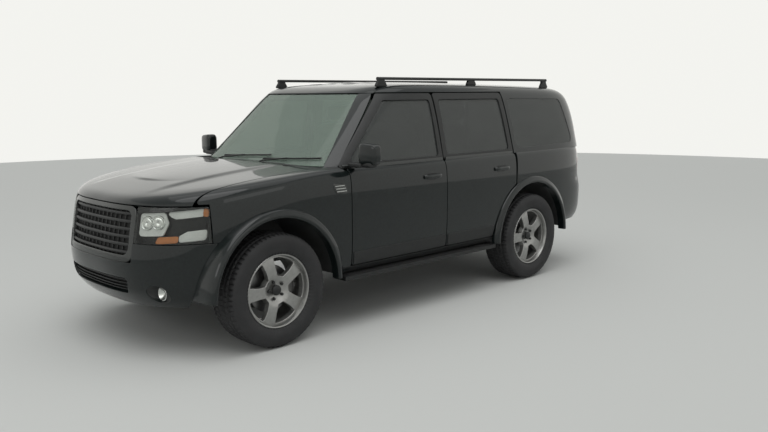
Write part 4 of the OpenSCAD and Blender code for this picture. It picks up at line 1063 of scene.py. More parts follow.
fog_l = yz_loop(lower, ring(fog_y, fog_z, 0.066), 1)
fog_r = yz_loop(lower, ring(-fog_y, fog_z, 0.066), 1)
def strip_on(name, skin, ab, sink, section, mat):
    """A strip that follows flat points on a skin, sunk below it."""
    p, n = skin.point(*ab.T), skin.normal(*ab.T)
    return swept_strip(name, p - n * sink, n, section, mat)

intake = yz_loop(lower, rounded([(0.40, 0.440), (0.43, 0.555), (-0.43, 0.555), (-0.40, 0.440)], 0.030), 1)
bumper = panel("front_bumper_cover", lower, [spaced(bump_loop, 0.016), fog_l, fog_r, intake], 0.040, paint,
               step=0.026)
place(bumper, "body", "body_paint", "front_bumper")
intake_back = panel("intake_mesh", lower, [intake], 0.045, seal, roll=0.001, start=0.034, step=0.03)
place(intake_back, "body", "trim_plastic", "front_bumper")
intake_section = [(-0.006, -0.004), (0.006, -0.003), (0.006, 0.003), (-0.006, 0.004)]
for k in range(4):
    z = 0.462 + 0.025 * k
    ys = np.linspace(-0.41, 0.41, 50)
    ab = yz_loop(lower, np.stack([ys, np.full(50, z)], -1), 1)
    bar = strip_on(f"intake_bar_{k + 1}", lower, ab, 0.022, intake_section, satin)
    place(bar, "body", "trim_plastic")

# %% [markdown]
# The rear bumper is a moulded cover around the tail's lower corners. It follows the body's own curve, so it
# is cut from the skin like a panel, with a wide roll at its edge because plastic bends softer than steel.

# %% Rear bumper
rb_top_in, rb_top_out = gate_low - 0.009 - e, gate_low - 0.060 - e
rr = arch_r + flare_w + 0.003
rz = float(low_edge(np.array(x_tail))) + 0.012
a0 = 180 - math.degrees(math.asin((rb_top_out - axle_z) / rr))
a1 = 180 - math.degrees(math.asin((rz - axle_z) / rr))
p_side = circle_xz(axle_r, rr, a1, a0, 24)
y_step = gate_half + 0.040 - e
s1, s2 = lower.from_yz(np.array([y_step, y_step]), np.array([rb_top_out, rb_top_in]), -1)
low_run = np.stack([np.linspace(lower.tail_end, p_side[0][0], 60)[:-1],
                    np.linspace(end_at(lower, 0.0, rz, -1)[1], p_side[0][1], 60)[:-1]], -1)
half = np.concatenate([low_run, p_side, level(p_side[-1], s1, 30)[1:], level(s1, s2, 5)[1:],
                       lower.from_yz(np.linspace(y_step, 0.0, 40)[1:], np.full(39, rb_top_in), -1)])
rb_loop = across(half, lower, -1)
rb_loop = apart(rb_loop, 2e-4)
rear_bumper = panel("rear_bumper_cover", lower, [spaced(rb_loop, 0.016)], 0.040, paint, step=0.028)
place(rear_bumper, "body", "body_paint", "rear_bumper")
scuff = panel("rear_scuff", lower, [yz_loop(lower, rounded([(0.62, rz + 0.012), (0.66, 0.545), (-0.66, 0.545),
    (-0.62, rz + 0.012)], 0.02), -1)], 0.0, plastic, roll=0.003, start=-0.004, step=0.04)
place(scuff, "body", "trim_plastic", "rear_bumper")

# %% [markdown]
# A tail lamp is a deep red moulding that wraps around the corner, with a paler band for the turning and
# reversing lights. A clear lens over bowls would be truer, but little of that shows through the red. So it is
# one shell cut from the skin, with a thin band on it.

# %% Tail lamps
tl = np.concatenate([level(side_at(lower, lamp_x0 - 2 * e, lamp_z0 + 2 * e),
    to_gate(lamp_z0 + 2 * e) - [-0.003, 0], 14),
                     level(to_gate(lamp_z1 - 2 * e) - [-0.003, 0],
                         side_at(lower, lamp_x0 - 2 * e, lamp_z1 - 2 * e), 14)])
tail = panel("tail_lamp_left", lower, [corners(tl, 0.02)], 0.024, red_lens, roll=0.004, step=0.02)
lo_a, hi_a = tl[:, 0].min() + 0.02, tl[:, 0].max() - 0.02
lo_b = tl[:, 1].min()
band = panel("tail_lamp_band_left", lower, [rounded([(lo_a, lo_b + 0.075), (hi_a, lo_b + 0.075),
    (hi_a, lo_b + 0.125), (lo_a, lo_b + 0.125)], 0.012)], 0.0, pink_lens, roll=0.002, start=-0.002, step=0.03)
for ob in (tail, band):
    both(ob, "body", "tail_lens", "tail_lamps")
print("bumpers and tail lamps made")

# %% [markdown]
# ## Grille
# The grille is a dark mesh field with bars, inside a brighter frame whose lower corners are round.
# The frame is one ring cut from the skin. The bars follow the skin a little below it, and a black
# screen closes the back. It is the grille's dark mesh, and its black is also painted shade for the depth
# between the bars.

# %% Grille
gy1, gz0, gz1 = grille_half - 0.002 - e, grille_low + 0.002 + e, lamp_high - e
outer_g = yz_loop(lower, spaced(rounded([(gy1, gz0), (gy1, gz1), (-gy1, gz1), (-gy1, gz0)], 0.060, 0.02),
    0.02), 1)
hy, hz0, hz1 = gy1 - 0.030, gz0 + 0.036, gz1 - 0.022
hole_g = yz_loop(lower, spaced(rounded([(hy, hz0), (hy, hz1), (-hy, hz1), (-hy, hz0)], 0.055, 0.02), 0.02), 1)
grille_frame = panel("grille_frame", lower, [outer_g, hole_g], 0.040, dark_bright, roll=0.006, start=0.004,
    step=0.02)
# The black screen is the dark mesh and also painted shade in the depth behind the bars.
grille_mesh_and_painted_shade = panel("grille_screen", lower, [outer_g], 0.050, seal, roll=0.001, start=0.040, step=0.05)
place(grille_frame, "body", "grille_finish", "grille")
place(grille_mesh_and_painted_shade, "body", "grille_finish", "grille")
bars, ribs = 6, 15
bar_section = [(-0.012, -0.009), (0.004, -0.010), (0.009, -0.004), (0.009, 0.004), (0.004, 0.010),
               (-0.012, 0.009)]
rib_section = [(-0.004, -0.004), (0.003, -0.003), (0.003, 0.003), (-0.004, 0.004)]
for k in range(bars):
    z = hz0 + (hz1 - hz0) * (k + 0.5) / bars
    ys = np.linspace(-hy - 0.004, hy + 0.004, 80)
    ab = yz_loop(lower, np.stack([ys, np.full(80, z)], -1), 1)
    bar = strip_on(f"grille_bar_{k + 1}", lower, ab, 0.022, bar_section, satin)
    place(bar, "body", "grille_finish", "grille")
for k in range(ribs):
    y = (k - ribs // 2) * hy / (ribs / 2)
    ab = yz_loop(lower, np.stack([np.full(24, y), np.linspace(hz0, hz1, 24)], -1), 1)
    rib = strip_on(f"grille_rib_{k + 1}", lower, ab, 0.032, rib_section, satin)
    place(rib, "body", "grille_finish", "grille")
print("grille with", bars, "bars and", ribs, "ribs")

# %% [markdown]
# ## Headlamps and fog lamps
# A headlamp is a sealed box: a clear cover flush with the body, a dark housing behind it and bright
# reflectors between. Here an inner block shines brightest, an upper arm sweeps out to an amber
# tip, a lower arm closes the shape, and an amber reflector sits under them.

# %% Headlamps
def lamp_ab(points, radius=0.012):
    """An outline on the lamp, given as shares of its width outwards and of its height upwards."""
    pts = [(lamp_a1 + (lamp_a0 - lamp_a1) * p, lamp_b0 + (lamp_b1 - lamp_b0) * q) for p, q in points]
    return rounded(pts, radius, 0.012)

top_l, low_l = lamp_high - e, lamp_low + 0.001 + e
lamp_a1 = float(end_at(lower, grille_half + 0.002 + e, (top_l + low_l) / 2, 1)[0])
lamp_a0 = float(side_at(lower, lamp_back + 0.002 + e, (top_l + low_l) / 2)[0])
lamp_b0 = float(side_at(lower, lamp_back + 0.1, low_l)[1])
lamp_b1 = float(side_at(lower, lamp_back + 0.1, top_l)[1])
print("lamp width", round(lamp_a1 - lamp_a0, 3), "height", round(lamp_b1 - lamp_b0, 3))

def box_loop(z0, z1, inner_y, outer_x):
    """An outline between two heights, from the grille's side around the corner to the lamp's back end."""
    low_in, low_out = end_at(lower, inner_y, z0, 1), side_at(lower, outer_x, z0)
    up_in, up_out = end_at(lower, inner_y, z1, 1), side_at(lower, outer_x, z1)
    def run(p, q, z):
        t = np.linspace(0, 1, 40)
        a = p[0] + (q[0] - p[0]) * t
        xyz = lower.point(a, p[1] + (q[1] - p[1]) * t)
        share = (z - low_edge(xyz[:, 0])) / (waist(xyz[:, 0]) - low_edge(xyz[:, 0]))
        return np.stack([a, np.interp(share, lower.share, lower.b)], -1)
    return np.concatenate([run(low_in, low_out, z0), run(up_out, up_in, z1)])

lens_loop = corners(box_loop(low_l, top_l, grille_half + 0.002 + e, lamp_back + 0.002 + e), 0.022)
lens = panel("headlamp_lens_left", lower, [lens_loop], 0.004, lamp_glass, roll=0.002, step=0.03)
housing = panel("headlamp_housing_left", lower, [lens_loop], 0.064, satin, roll=0.001, start=0.058, step=0.03)
rim = panel("headlamp_rim_left", lower, [lens_loop, lamp_ab([(0.03, 0.05), (0.97, 0.05), (0.97, 0.95),
    (0.03, 0.95)], 0.03)], 0.060, satin, roll=0.002, start=0.0045, step=0.03)
pieces = [lens, housing, rim]
for part, edge, radius, depth, mat, roll, start in (
        ("block", [(0.06, 0.30), (0.06, 0.93), (0.40, 0.93), (0.46, 0.62), (0.40, 0.30)], 0.02, 0.030,
         lamp_white, 0.005, 0.016),
        ("arm", [(0.44, 0.93), (0.90, 0.93), (0.90, 0.74), (0.56, 0.74), (0.50, 0.80)], 0.010, 0.030,
         lamp_white, 0.004, 0.016),
        ("tip", [(0.90, 0.74), (0.965, 0.70), (0.965, 0.93), (0.90, 0.93)], 0.008, 0.028, amber, 0.003,
         0.014),
        ("low_arm", [(0.62, 0.08), (0.96, 0.08), (0.96, 0.34), (0.72, 0.34), (0.62, 0.24)], 0.012, 0.030,
         lamp_white, 0.004, 0.020),
        ("reflector", [(0.30, 0.07), (0.60, 0.07), (0.60, 0.24), (0.34, 0.24)], 0.010, 0.028, amber, 0.003,
         0.018)):
    pieces.append(panel(f"headlamp_{part}_left", lower, [lamp_ab(edge, radius)], depth, mat, roll=roll,
        start=start, step=0.02))
for ob in pieces:
    both(ob, "body", "lamp_lens", "front_lamps")
print("headlamp pieces", len(pieces))

# %% [markdown]
# Round things such as projectors, fog lamps, brake discs and nuts are turned or drawn. Each is a profile spun
# about an axis. A screw modifier does the same, but a function places the piece on any axis in one call.

# %% Turned pieces
def bowl(name, centre, axis, profile, mat, count=48):
    """A turned piece: its profile of (distance along the axis, radius) spun about that axis."""
    axis = Vector(axis).normalized()
    u = axis.orthogonal().normalized()
    w = axis.cross(u)
    verts = [Vector(centre) + axis * d_ + (u * math.cos(t) + w * math.sin(t)) * r for d_, r in profile
             for t in np.linspace(0, 2 * math.pi, count, endpoint=False)]
    n = len(profile)
    faces = [(i * count + j, i * count + (j + 1) % count, (i + 1) * count + (j + 1) % count,
              (i + 1) * count + j)
             for i in range(n - 1) for j in range(count)]
    ob = mesh_object(name, verts, faces, None, mat)
    ob.data.set_sharp_from_angle(angle=math.radians(38))
    return ob

for k, share in ((1, 0.17), (2, 0.33)):
    ab = np.array([lamp_a1 + (lamp_a0 - lamp_a1) * share, lamp_b0 + (lamp_b1 - lamp_b0) * 0.66])
    p, n = lower.point(*ab), lower.normal(*ab)
    projector = bowl(f"headlamp_projector_{k}_left", p - n * 0.016, n,
                     [(0.002, 0.0), (0.009, 0.020), (0.006, 0.032), (-0.004, 0.036), (0.002, 0.040),
                      (0.006, 0.044), (0.0, 0.048)],
                     mirror_metal)
    both(projector, "body", "lamp_lens")

# %% [markdown]
# A fog lamp is a small bowl deep in a round recess of the bumper. The recess is a loft from the hole's edge
# on the skin to the bowl, because the hole follows the bumper's curve and a plain cylinder would leave a gap.

# %% Fog lamps
for side, s in sides:
    ab = end_at(lower, fog_y, fog_z, 1)
    p = lower.point(*ab) * [1, s, 1] - [0.026, 0, 0]
    ax = (1.0, 0.10 * s, 0.0)
    rim_in = lower.point(*yz_loop(lower, ring(fog_y, fog_z, 0.067), 1).T) - [0.005, 0, 0]
    turn = np.arctan2(rim_in[:, 2] - fog_z, rim_in[:, 1] - fog_y)
    cup = [np.stack([np.full(40, p[0] - depth), fog_y + r * np.cos(turn), fog_z + r * np.sin(turn)], -1)
           for depth, r in ((0.014, 0.058), (0.052, 0.055), (0.056, 0.020))]
    walls = np.concatenate([rim_in] + cup) * [1, s, 1]
    faces = [(i * 40 + j, i * 40 + (j + 1) % 40, (i + 1) * 40 + (j + 1) % 40, (i + 1) * 40 + j)
             for i in range(3) for j in range(40)]
    tunnel = mesh_object(f"fog_recess_{side}", walls, faces, None, plastic)
    fog = bowl(f"fog_lamp_{side}", p, ax, [(-0.050, 0.0), (-0.050, 0.044), (-0.018, 0.047), (-0.010, 0.046),
        (-0.009, 0.043), (-0.030, 0.020), (-0.034, 0.0)], mirror_metal)
    cover = bowl(f"fog_cover_{side}", p, ax, [(-0.0105, 0.044), (-0.006, 0.030), (-0.003, 0.0)], lamp_glass)
    place(tunnel, "body", "trim_plastic", "front_lamps")
    place(fog, "body", "lamp_lens", "front_lamps")
    place(cover, "body", "lamp_lens")

# %% [markdown]
# ## Wheels
# A tyre is a turned section with its tread cut into it: four grooves around and sipes across, and
# lugs on the shoulders. The rim is an alloy casting: a turned barrel and a face with five wide
# spokes, cut from a dished disc like the body's panels are cut from the skin.

# %% Tyre
def tyre_mesh(name):
    """A turned tyre whose tread points are pulled inwards where a groove or a sipe runs."""
    section = []
    r_out, r_in = tyre_r, 0.254
    for y, r in ((-0.36, r_in), (-0.40, r_in + 0.004), (-0.41, r_in + 0.010), (-0.435, r_in + 0.015),
                 (-0.468, r_in + 0.027), (-0.488, r_in + 0.045),
                 (-0.498, r_in + 0.066), (-0.50, r_in + 0.080), (-0.496, r_in + 0.100),
                 (-0.485, r_out - 0.032), (-0.472, r_out - 0.022), (-0.455, r_out - 0.0135),
                 (-0.42, r_out - 0.0075)):
        section.append((y * tyre_w, r))
    tread = np.linspace(-0.395, 0.395, 33)
    full = section + [(t * tyre_w, r_out - 0.0042 * (abs(t) / 0.395) ** 2.5) for t in tread]
    full += [(-y, r) for y, r in section[::-1]]
    pitches, per = 68, 6
    n = pitches * per
    sec = np.array(full)
    ang = np.linspace(0, 2 * math.pi, n, endpoint=False)
    Y = np.repeat(sec[None, :, 0], n, 0)
    R = np.repeat(sec[None, :, 1], n, 0)
    phase = (np.arange(n) % per)[:, None]
    u = np.abs(Y) / tyre_w
    groove = ((np.abs(u - 0.13) < 0.016) | (np.abs(u - 0.285) < 0.016)) & (u < 0.40)
    shift = np.where(Y > 0, 0, 3)
    lateral = ((phase + shift) % per < 2) & (u > 0.30) & (u < 0.475)
    cross = ((phase + shift + 2) % per < 1) & (u > 0.14) & (u < 0.28)
    centre = ((phase + 1) % per < 1) & (u < 0.115)
    R = R - 0.0085 * groove - 0.0075 * lateral * smooth01((0.475 - u) / 0.05) - 0.005 * cross - 0.004 * centre
    verts = np.stack([R * np.cos(ang)[:, None], Y, R * np.sin(ang)[:, None]], -1).reshape(-1, 3)
    m = len(sec)
    faces = [(i * m + j, i * m + (j + 1), ((i + 1) % n) * m + j + 1, ((i + 1) % n) * m + j) for i in range(n)
             for j in range(m - 1)]
    ob = mesh_object(name, verts, faces, None, rubber)
    ob.data.set_sharp_from_angle(angle=math.radians(32))
    return ob

class RimFace:
    """The dished front of a rim, as a surface that panels can be cut from."""
    def point(self, a, b):
        r = np.hypot(a, b)
        hollow = 0.020 * smooth01((0.12 - r) / 0.09)
        swell = 0.010 * np.sin(np.clip((r - 0.06) / 0.19, 0, 1) * math.pi)
        y = tyre_w * 0.33 - hollow + swell - 0.006
        return np.stack([a, y, b], -1)
    def normal(self, a, b):
        h = 0.001
        pa = self.point(a + h, b) - self.point(a - h, b)
        pb = self.point(a, b + h) - self.point(a, b - h)
        n = np.cross(pb, pa)
        return n / np.linalg.norm(n, axis=-1, keepdims=True)

# %% [markdown]
# The rim is one casting: barrel, flange and five spokes. Boolean cuts in a disc would leave ragged edges. The
# spokes are what is left of a dished face after five rounded windows are cut, by the same function that cuts
# the body's panels, and the barrel and the brake disc behind are turned.

# %% Rim
def rim_parts(name):
    windows = []
    for k in range(5):
        mid = math.radians(72 * k + 36)
        def at(r, off):
            side = (off > 0) * 2 - 1
            spoke = math.radians(36) - math.asin(min(0.95, (0.037 + 0.010 * smooth01((r - 0.16) / 0.08)) / r))
            return (r * math.cos(mid + side * spoke), r * math.sin(mid + side * spoke))
        pts = [at(0.100, -1), at(0.16, -1), at(0.236, -1)]
        a0 = math.atan2(pts[-1][1], pts[-1][0])
        last = at(0.236, 1)
        a1 = math.atan2(last[1], last[0])
        span = (a1 - a0 + math.pi) % (2 * math.pi) - math.pi
        turns = [a0 + span * t for t in (0.2, 0.4, 0.6, 0.8)]
        pts += [(0.236 * math.cos(t), 0.236 * math.sin(t)) for t in turns]
        pts += [last, at(0.16, 1), at(0.100, 1)]
        windows.append(rounded(pts, 0.014, 0.01))
    face = panel(name + "_face", RimFace(), [ring(0, 0, 0.2480, 96)] + windows, 0.040, alloy, roll=0.004,
                 step=0.011)
    y1, hub_y = tyre_w * 0.40, tyre_w * 0.29
    barrel = bowl(name + "_barrel", (0, 0, 0), (0, 1, 0), [
        (-y1 - 0.008, 0.244), (-y1 - 0.010, 0.258), (-y1 - 0.006, 0.262), (-y1 + 0.002, 0.262),
        (-y1 + 0.006, 0.252), (-y1 + 0.040, 0.250), (0.03, 0.250),
        (y1 - 0.006, 0.252), (y1 - 0.002, 0.262), (y1 + 0.006, 0.262), (y1 + 0.010, 0.258),
        (y1 + 0.008, 0.250), (y1 - 0.006, 0.243), (y1 - 0.030, 0.240), (-y1, 0.238), (-y1 - 0.008, 0.244)],
        alloy, 96)
    cap = bowl(name + "_cap", (0, 0, 0), (0, 1, 0), [(hub_y, 0.036), (hub_y + 0.010, 0.036),
        (hub_y + 0.014, 0.032), (hub_y + 0.017, 0.016), (hub_y + 0.0175, 0.0)], satin, 48)
    disc = bowl(name + "_brake", (0, 0, 0), (0, 1, 0), [(-0.011, 0.060), (-0.011, 0.170), (0.004, 0.170),
        (0.004, 0.086), (0.030, 0.078), (0.050, 0.074), (0.050, 0.030)], disc_iron, 64)
    nuts = []
    for k in range(5):
        t = math.radians(72 * k)
        c = (0.062 * math.cos(t), hub_y - 0.012, 0.062 * math.sin(t))
        nuts.append(bowl(f"{name}_nut_{k + 1}", c, (0, 1, 0), [(0, 0.011), (0.018, 0.0105), (0.021, 0.007),
            (0.021, 0.0)], satin, 6))
    return [face, barrel, cap, disc] + nuts

def joined(obs, name):
    """Several pieces made into one, so a wheel is one object with several finishes."""
    for o in bpy.context.selected_objects:
        o.select_set(False)
    for o in obs:
        o.select_set(True)
    bpy.context.view_layer.objects.active = obs[0]
    bpy.ops.object.join()
    obs[0].name = name
    return obs[0]

base_tyre = tyre_mesh("tyre_base")
base_rim = joined(rim_parts("rim"), "rim_base")
for end in ("front", "rear"):
    for side, s in sides:
        c = middle(f"tyre_{end}_{side}")
        for base, kind, slot in ((base_tyre, "tyre", "tyre_rubber"), (base_rim, "rim", "wheel_alloy")):
            if s > 0:
                ob = new_object(f"{kind}_{end}_{side}_look", base.data.copy())
            else:
                ob = mirrored(base, f"{kind}_{end}_{side}_look")
            ob.data.transform(Matrix.Translation(c))
            place(ob, f"wheel_{end}_{side}", slot, f"{kind}_{end}_{side}")
for ob in (base_tyre, base_rim):
    bpy.data.objects.remove(ob)
print("wheels made")

# %% [markdown]
# A caliper is a thick iron clamp over the top of the brake disc. Its section is a U, swept along a short arc,
# so that it straddles the disc. It stays with the knuckle or the axle while the wheel turns.

# %% Brake calipers
for end, cx in (("front", axle_f), ("rear", axle_r)):
    for side, s in sides:
        c = middle(f"tyre_{end}_{side}")
        g = np.radians(np.linspace(150, 215, 12))
        bend = np.stack([c.x + 0.150 * np.cos(g), np.full(12, c.y - 0.004 * s), c.z + 0.150 * np.sin(g)], -1)
        rad = np.stack([np.cos(g), 0 * g, np.sin(g)], -1)
        cal = swept_strip(f"caliper_{end}_{side}", bend, rad, [(-0.030, -0.036), (0.020, -0.038),
            (0.034, -0.028), (0.034, 0.028), (0.020, 0.038), (-0.030, 0.036), (-0.030, 0.014), (0.022, 0.014),
            (0.022, -0.014), (-0.030, -0.014)], castings)
        place(cal, f"knuckle_{side}" if end == "front" else "body", "knuckle_iron")

# %% [markdown]
# ## Mirrors, handles and roof rails
# Small pieces catch the eye because each has its own shadow. The mirror is a soft-cornered shell on
# a short arm. The handles are bars over a shallow dish. The rails run along the roof on three feet.

# %% Rounded solids
def soft_box(name, lo, hi, mat, cuts=6, shape=None, power=4.0):
    """A box with full, soft corners: a cube grid pulled towards a superellipsoid."""
    lo, hi = np.array(lo, float), np.array(hi, float)
    verts, faces, index = [], [], {}
    g = np.linspace(-1, 1, cuts * 2 + 1)
    def vid(p):
        key = tuple(np.round(p, 6))
        if key not in index:
            index[key] = len(verts)
            verts.append(p)
        return index[key]
    for ax in range(3):
        for sgn in (-1, 1):
            for i in range(len(g) - 1):
                for j in range(len(g) - 1):
                    q = []
                    for di, dj in ((0, 0), (1, 0), (1, 1), (0, 1)):
                        p = np.zeros(3)
                        p[ax], p[(ax + 1) % 3], p[(ax + 2) % 3] = sgn, g[i + di], g[j + dj]
                        q.append(vid(p))
                    faces.append(tuple(q) if sgn > 0 else tuple(q[::-1]))
    V = np.array(verts)
    half, mid = (hi - lo) / 2, (hi + lo) / 2
    norm = (np.abs(V) ** power).sum(1) ** (1 / power)
    V = V / norm[:, None]
    P = mid + V * half
    if shape is not None:
        P = shape(P)
    return mesh_object(name, P, faces, None, mat)

# %% [markdown]
# A door mirror is a painted shell on a short arm, with a black base and a glass that faces back. The shell
# narrows outwards, so its points are scaled down along its length after it is rounded.

# %% Mirrors
lo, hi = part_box("mirror_left")
head_lo, head_hi = (lo.x, half_w + 0.016, belt_z + 0.010), (hi.x - 0.022, hi.y, hi.z)
def mirror_shape(P):
    t = (P[:, 1] - head_lo[1]) / (head_hi[1] - head_lo[1])
    P[:, 2] = belt_z + 0.100 + (P[:, 2] - belt_z - 0.100) * (1 - 0.16 * t)
    P[:, 0] = lo.x + (P[:, 0] - lo.x) * (1 - 0.22 * t ** 2)
    return P
pod = soft_box("mirror_shell_left", head_lo, head_hi, paint, cuts=9, shape=mirror_shape, power=5.0)
lower_cap = soft_box("mirror_base_left", (lo.x + 0.006, half_w + 0.010, belt_z),
    (hi.x - 0.030, hi.y - 0.03, belt_z + 0.045), satin, cuts=6, power=4.0)
stalk = soft_box("mirror_arm_left", (lo.x + 0.024, half_w - 0.084, belt_z - 0.002),
                 (hi.x - 0.004, half_w + 0.060, belt_z + 0.034), satin, cuts=6, power=5.0)
glass_face = soft_box("mirror_glass_left", (lo.x - 0.0005, half_w + 0.030, belt_z + 0.030),
    (lo.x + 0.010, hi.y - 0.020, hi.z - 0.020), mirror_metal, cuts=6, power=7.0)
for ob in (pod, lower_cap, stalk, glass_face):
    both(ob, "front_door_left", "body_paint", "mirror_left")
print("mirrors reach", round(hi.y, 3), "m from the middle")

# %% [markdown]
# A handle is a bar that stands off the door over a shallow dish, so that fingers fit behind it. The bar is a
# section swept along the skin, lifted in the middle and dipping at both ends. The dish is a thin panel.

# %% Door handles
for kind, x1 in (("front", x_bpillar + 0.075), ("rear", x_rdoor + 0.115)):
    x0h, z = x1 + 0.205, belt_z - 0.135
    dish = panel(f"{kind}_handle_dish_left", lower, [on(lower,
        rounded([(x1 + 0.035, z - 0.026), (x1 + 0.035, z + 0.026), (x0h - 0.03, z + 0.026),
                 (x0h - 0.03, z - 0.026)], 0.025))], 0.001, satin, roll=0.001, start=-0.0012, step=0.02)
    xs = np.linspace(x1, x0h, 26)
    ab = lower.from_xz(xs, np.full(26, z))
    p, n = lower.point(*ab.T), lower.normal(*ab.T)
    t = np.linspace(-1, 1, 26)
    lift = 0.004 + 0.020 * (1 - t ** 6)
    bar = swept_strip(f"{kind}_handle_left", p + n * lift[:, None], n,
                      [(-0.007, -0.012), (0.000, -0.016), (0.006, -0.010), (0.008, 0.0), (0.006, 0.010),
                       (0.000, 0.016), (-0.007, 0.012)], paint)
    for ob in (dish, bar):
        both(ob, f"{kind}_door_left", "body_paint")
print("four handles made")

# %% [markdown]
# The vent behind the front arch is a trim plate with three slats. It lies on the skin, so plate and slats use
# the skin's own points, and the slats catch a highlight each.

# %% Side vent behind the front arch
vx = x_fdoor + 0.100
vent = panel("fender_vent_left", lower,
             [on(lower, rounded([(vx - 0.062, belt_z - 0.190), (vx - 0.030, belt_z - 0.120),
                 (vx + 0.085, belt_z - 0.105), (vx + 0.055, belt_z - 0.175)], 0.012))], 0.002, dark_bright,
                 roll=0.003, start=-0.004, step=0.02)
both(vent, "body", "grille_finish")
for k in range(3):
    zc = belt_z - 0.168 + 0.020 * k
    xs = np.linspace(vx - 0.042 + 0.009 * k, vx + 0.052 + 0.007 * k, 10)
    louvre = strip_on(f"fender_vent_bar_{k + 1}_left", lower, lower.from_xz(xs, np.full(10, zc)), -0.004,
        [(-0.001, -0.006), (0.0045, -0.002), (0.003, 0.004), (-0.001, 0.006)], bright)
    both(louvre, "body", "grille_finish")

# %% [markdown]
# Plastic strips along the doors' foot take the stones that wheels throw. Each is a thin panel over the door's
# skin. The rear one ends in a slope so that it stays clear of the flare when the door opens.

# %% Lower door cladding
def beside_flare(z):
    """Where the rear door's cladding starts at one height, clear of the flare."""
    return axle_r + math.sqrt((arch_r + flare_w + 0.030) ** 2 - (z - axle_z) ** 2)

clad_low, clad_top = door_low + 0.012, door_low + 0.098
for kind, xa, xt, xb in (("front", x_bpillar + 0.018, x_bpillar + 0.018, x_fdoor - 0.016),
                         ("rear", beside_flare(clad_low), beside_flare(clad_top), x_bpillar - 0.018)):
    edge = rounded([(xa, clad_low), (xt, clad_top), (xb, clad_top), (xb, clad_low)], 0.012)
    clad = panel(f"{kind}_door_cladding_left", lower, [on(lower, edge)], 0.001, satin, roll=0.004,
                 start=-0.007, step=0.03)
    both(clad, f"{kind}_door_left", "trim_plastic")

# %% [markdown]
# A roof rail is a drawn bar on three cast feet. The bar has a rounded section swept straight. The feet are
# soft boxes that narrow upwards, which is how the casting meets the bar.

# %% Roof rails
lo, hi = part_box("roof_rails")
for side, s in sides:
    y = s * (half_w - 0.330)
    xs = np.linspace(lo.x + 0.030, hi.x - 0.030, 70)
    z = np.full(70, hi.z - 0.013)
    rail = swept_strip(f"roof_rail_{side}_bar", np.stack([xs, np.full(70, y), z], -1),
        np.tile([0, 0, 1.0], (70, 1)),
                       [(-0.011, -0.015), (-0.004, -0.018), (0.007, -0.016), (0.012, -0.008), (0.0125, 0.0),
                        (0.012, 0.008), (0.007, 0.016), (-0.004, 0.018), (-0.011, 0.015)], satin)
    place(rail, "body", "rail_metal", "roof_rails")
    for k, xf in enumerate((lo.x + 0.066, (lo.x + hi.x) / 2, hi.x - 0.066)):
        zf = float(cabin.height(np.array([xf]), np.array([abs(y)]), 0.012)[0])
        def taper(P, xf=xf, zf=zf):
            P[:, 0] = xf + (P[:, 0] - xf) * (1 - 0.45 * smooth01((P[:, 2] - zf) / 0.055))
            return P
        foot = soft_box(f"roof_rail_{side}_foot_{k + 1}", (xf - 0.062, y - 0.014, zf - 0.004),
            (xf + 0.062, y + 0.014, hi.z - 0.008), satin, cuts=6, shape=taper, power=8.0)
        place(foot, "body", "rail_metal", "roof_rails")

# %% [markdown]
# A liner is a plastic shell that keeps water out of the body. Without it light would shine through from the
# engine bay. It is a flat section swept around the arch, just outside the circle that the tyre needs.

# %% Wheel arch liners
for end, cx in (("front", axle_f), ("rear", axle_r)):
    for side, s in sides:
        t = np.radians(np.linspace(4, 176, 60))
        r = arch_r + 0.004
        bend = np.stack([cx + r * np.cos(t), np.full(60, s * (half_w - 0.180)), axle_z + r * np.sin(t)], -1)
        liner = swept_strip(f"arch_liner_{end}_{side}", bend, np.stack([np.cos(t), 0 * t, np.sin(t)], -1),
                            [(0.0, -0.140), (0.004, -0.140), (0.004, 0.140), (0.0, 0.140)], plastic)
        place(liner, "body", "underbody_plastic")

# %% [markdown]
# The rear wiper lies across the lower glass and the stop lamp sits above it. Both follow the glass, so their
# points are laid on that skin. They are placed on the tailgate and swing with it.

# %% Rear wiper and high stop lamp
zs = np.linspace(belt_z + 0.085, belt_z + 0.150, 30)
ys = np.linspace(0.02, 0.36, 30)
ab = yz_loop(cabin, np.stack([ys, zs], -1), -1)
p, n = cabin.point(*ab.T), cabin.normal(*ab.T)
blade = swept_strip("rear_wiper_blade", p + n * 0.006, n, [(-0.004, -0.0015), (0.002, -0.006),
    (0.007, -0.003), (0.007, 0.003), (0.002, 0.006), (-0.004, 0.0015)], seal)
wiper_arm = swept_strip("rear_wiper_arm", p[:16] + n[:16] * 0.014, n[:16], [(-0.002, -0.007), (0.004, -0.005),
    (0.004, 0.005), (-0.002, 0.007)], satin)
pivot = soft_box("rear_wiper_pivot", tuple(p[0] + [-0.010, -0.024, -0.022]),
                 tuple(p[0] + [0.020, 0.024, 0.022]), satin, cuts=5, power=3.0)
stop_loop = yz_loop(cabin, rounded([(0.15, roof_z - 0.125), (0.15, roof_z - 0.103), (-0.15, roof_z - 0.103),
    (-0.15, roof_z - 0.125)], 0.008), -1)
stop_lamp = panel("high_stop_lamp", cabin, [stop_loop], 0.001, red_lens, roll=0.003, start=-0.004, step=0.02)
for ob in (blade, wiper_arm, pivot):
    place(ob, "tailgate", "trim_plastic")
place(stop_lamp, "tailgate", "tail_lens")

# %% [markdown]
# Running boards have rubber ribs so that a wet shoe doesn't slip. Seven thin strips on each side are enough
# to catch the light. A bump texture would vanish when seen along the board.

# %% Steps
lo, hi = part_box("running_boards")
for side, s in sides:
    for k in range(7):
        y = s * (half_w - 0.132 + 0.017 * k)
        rib = swept_strip(f"step_rib_{side}_{k + 1}", [(lo.x + 0.05, y, hi.z), (hi.x - 0.05, y, hi.z)],
            [(0, 0, 1), (0, 0, 1)], [(-0.001, -0.004), (0.0015, -0.003), (0.0015, 0.003), (-0.001, 0.004)],
            seal)
        place(rib, "body", "trim_plastic")

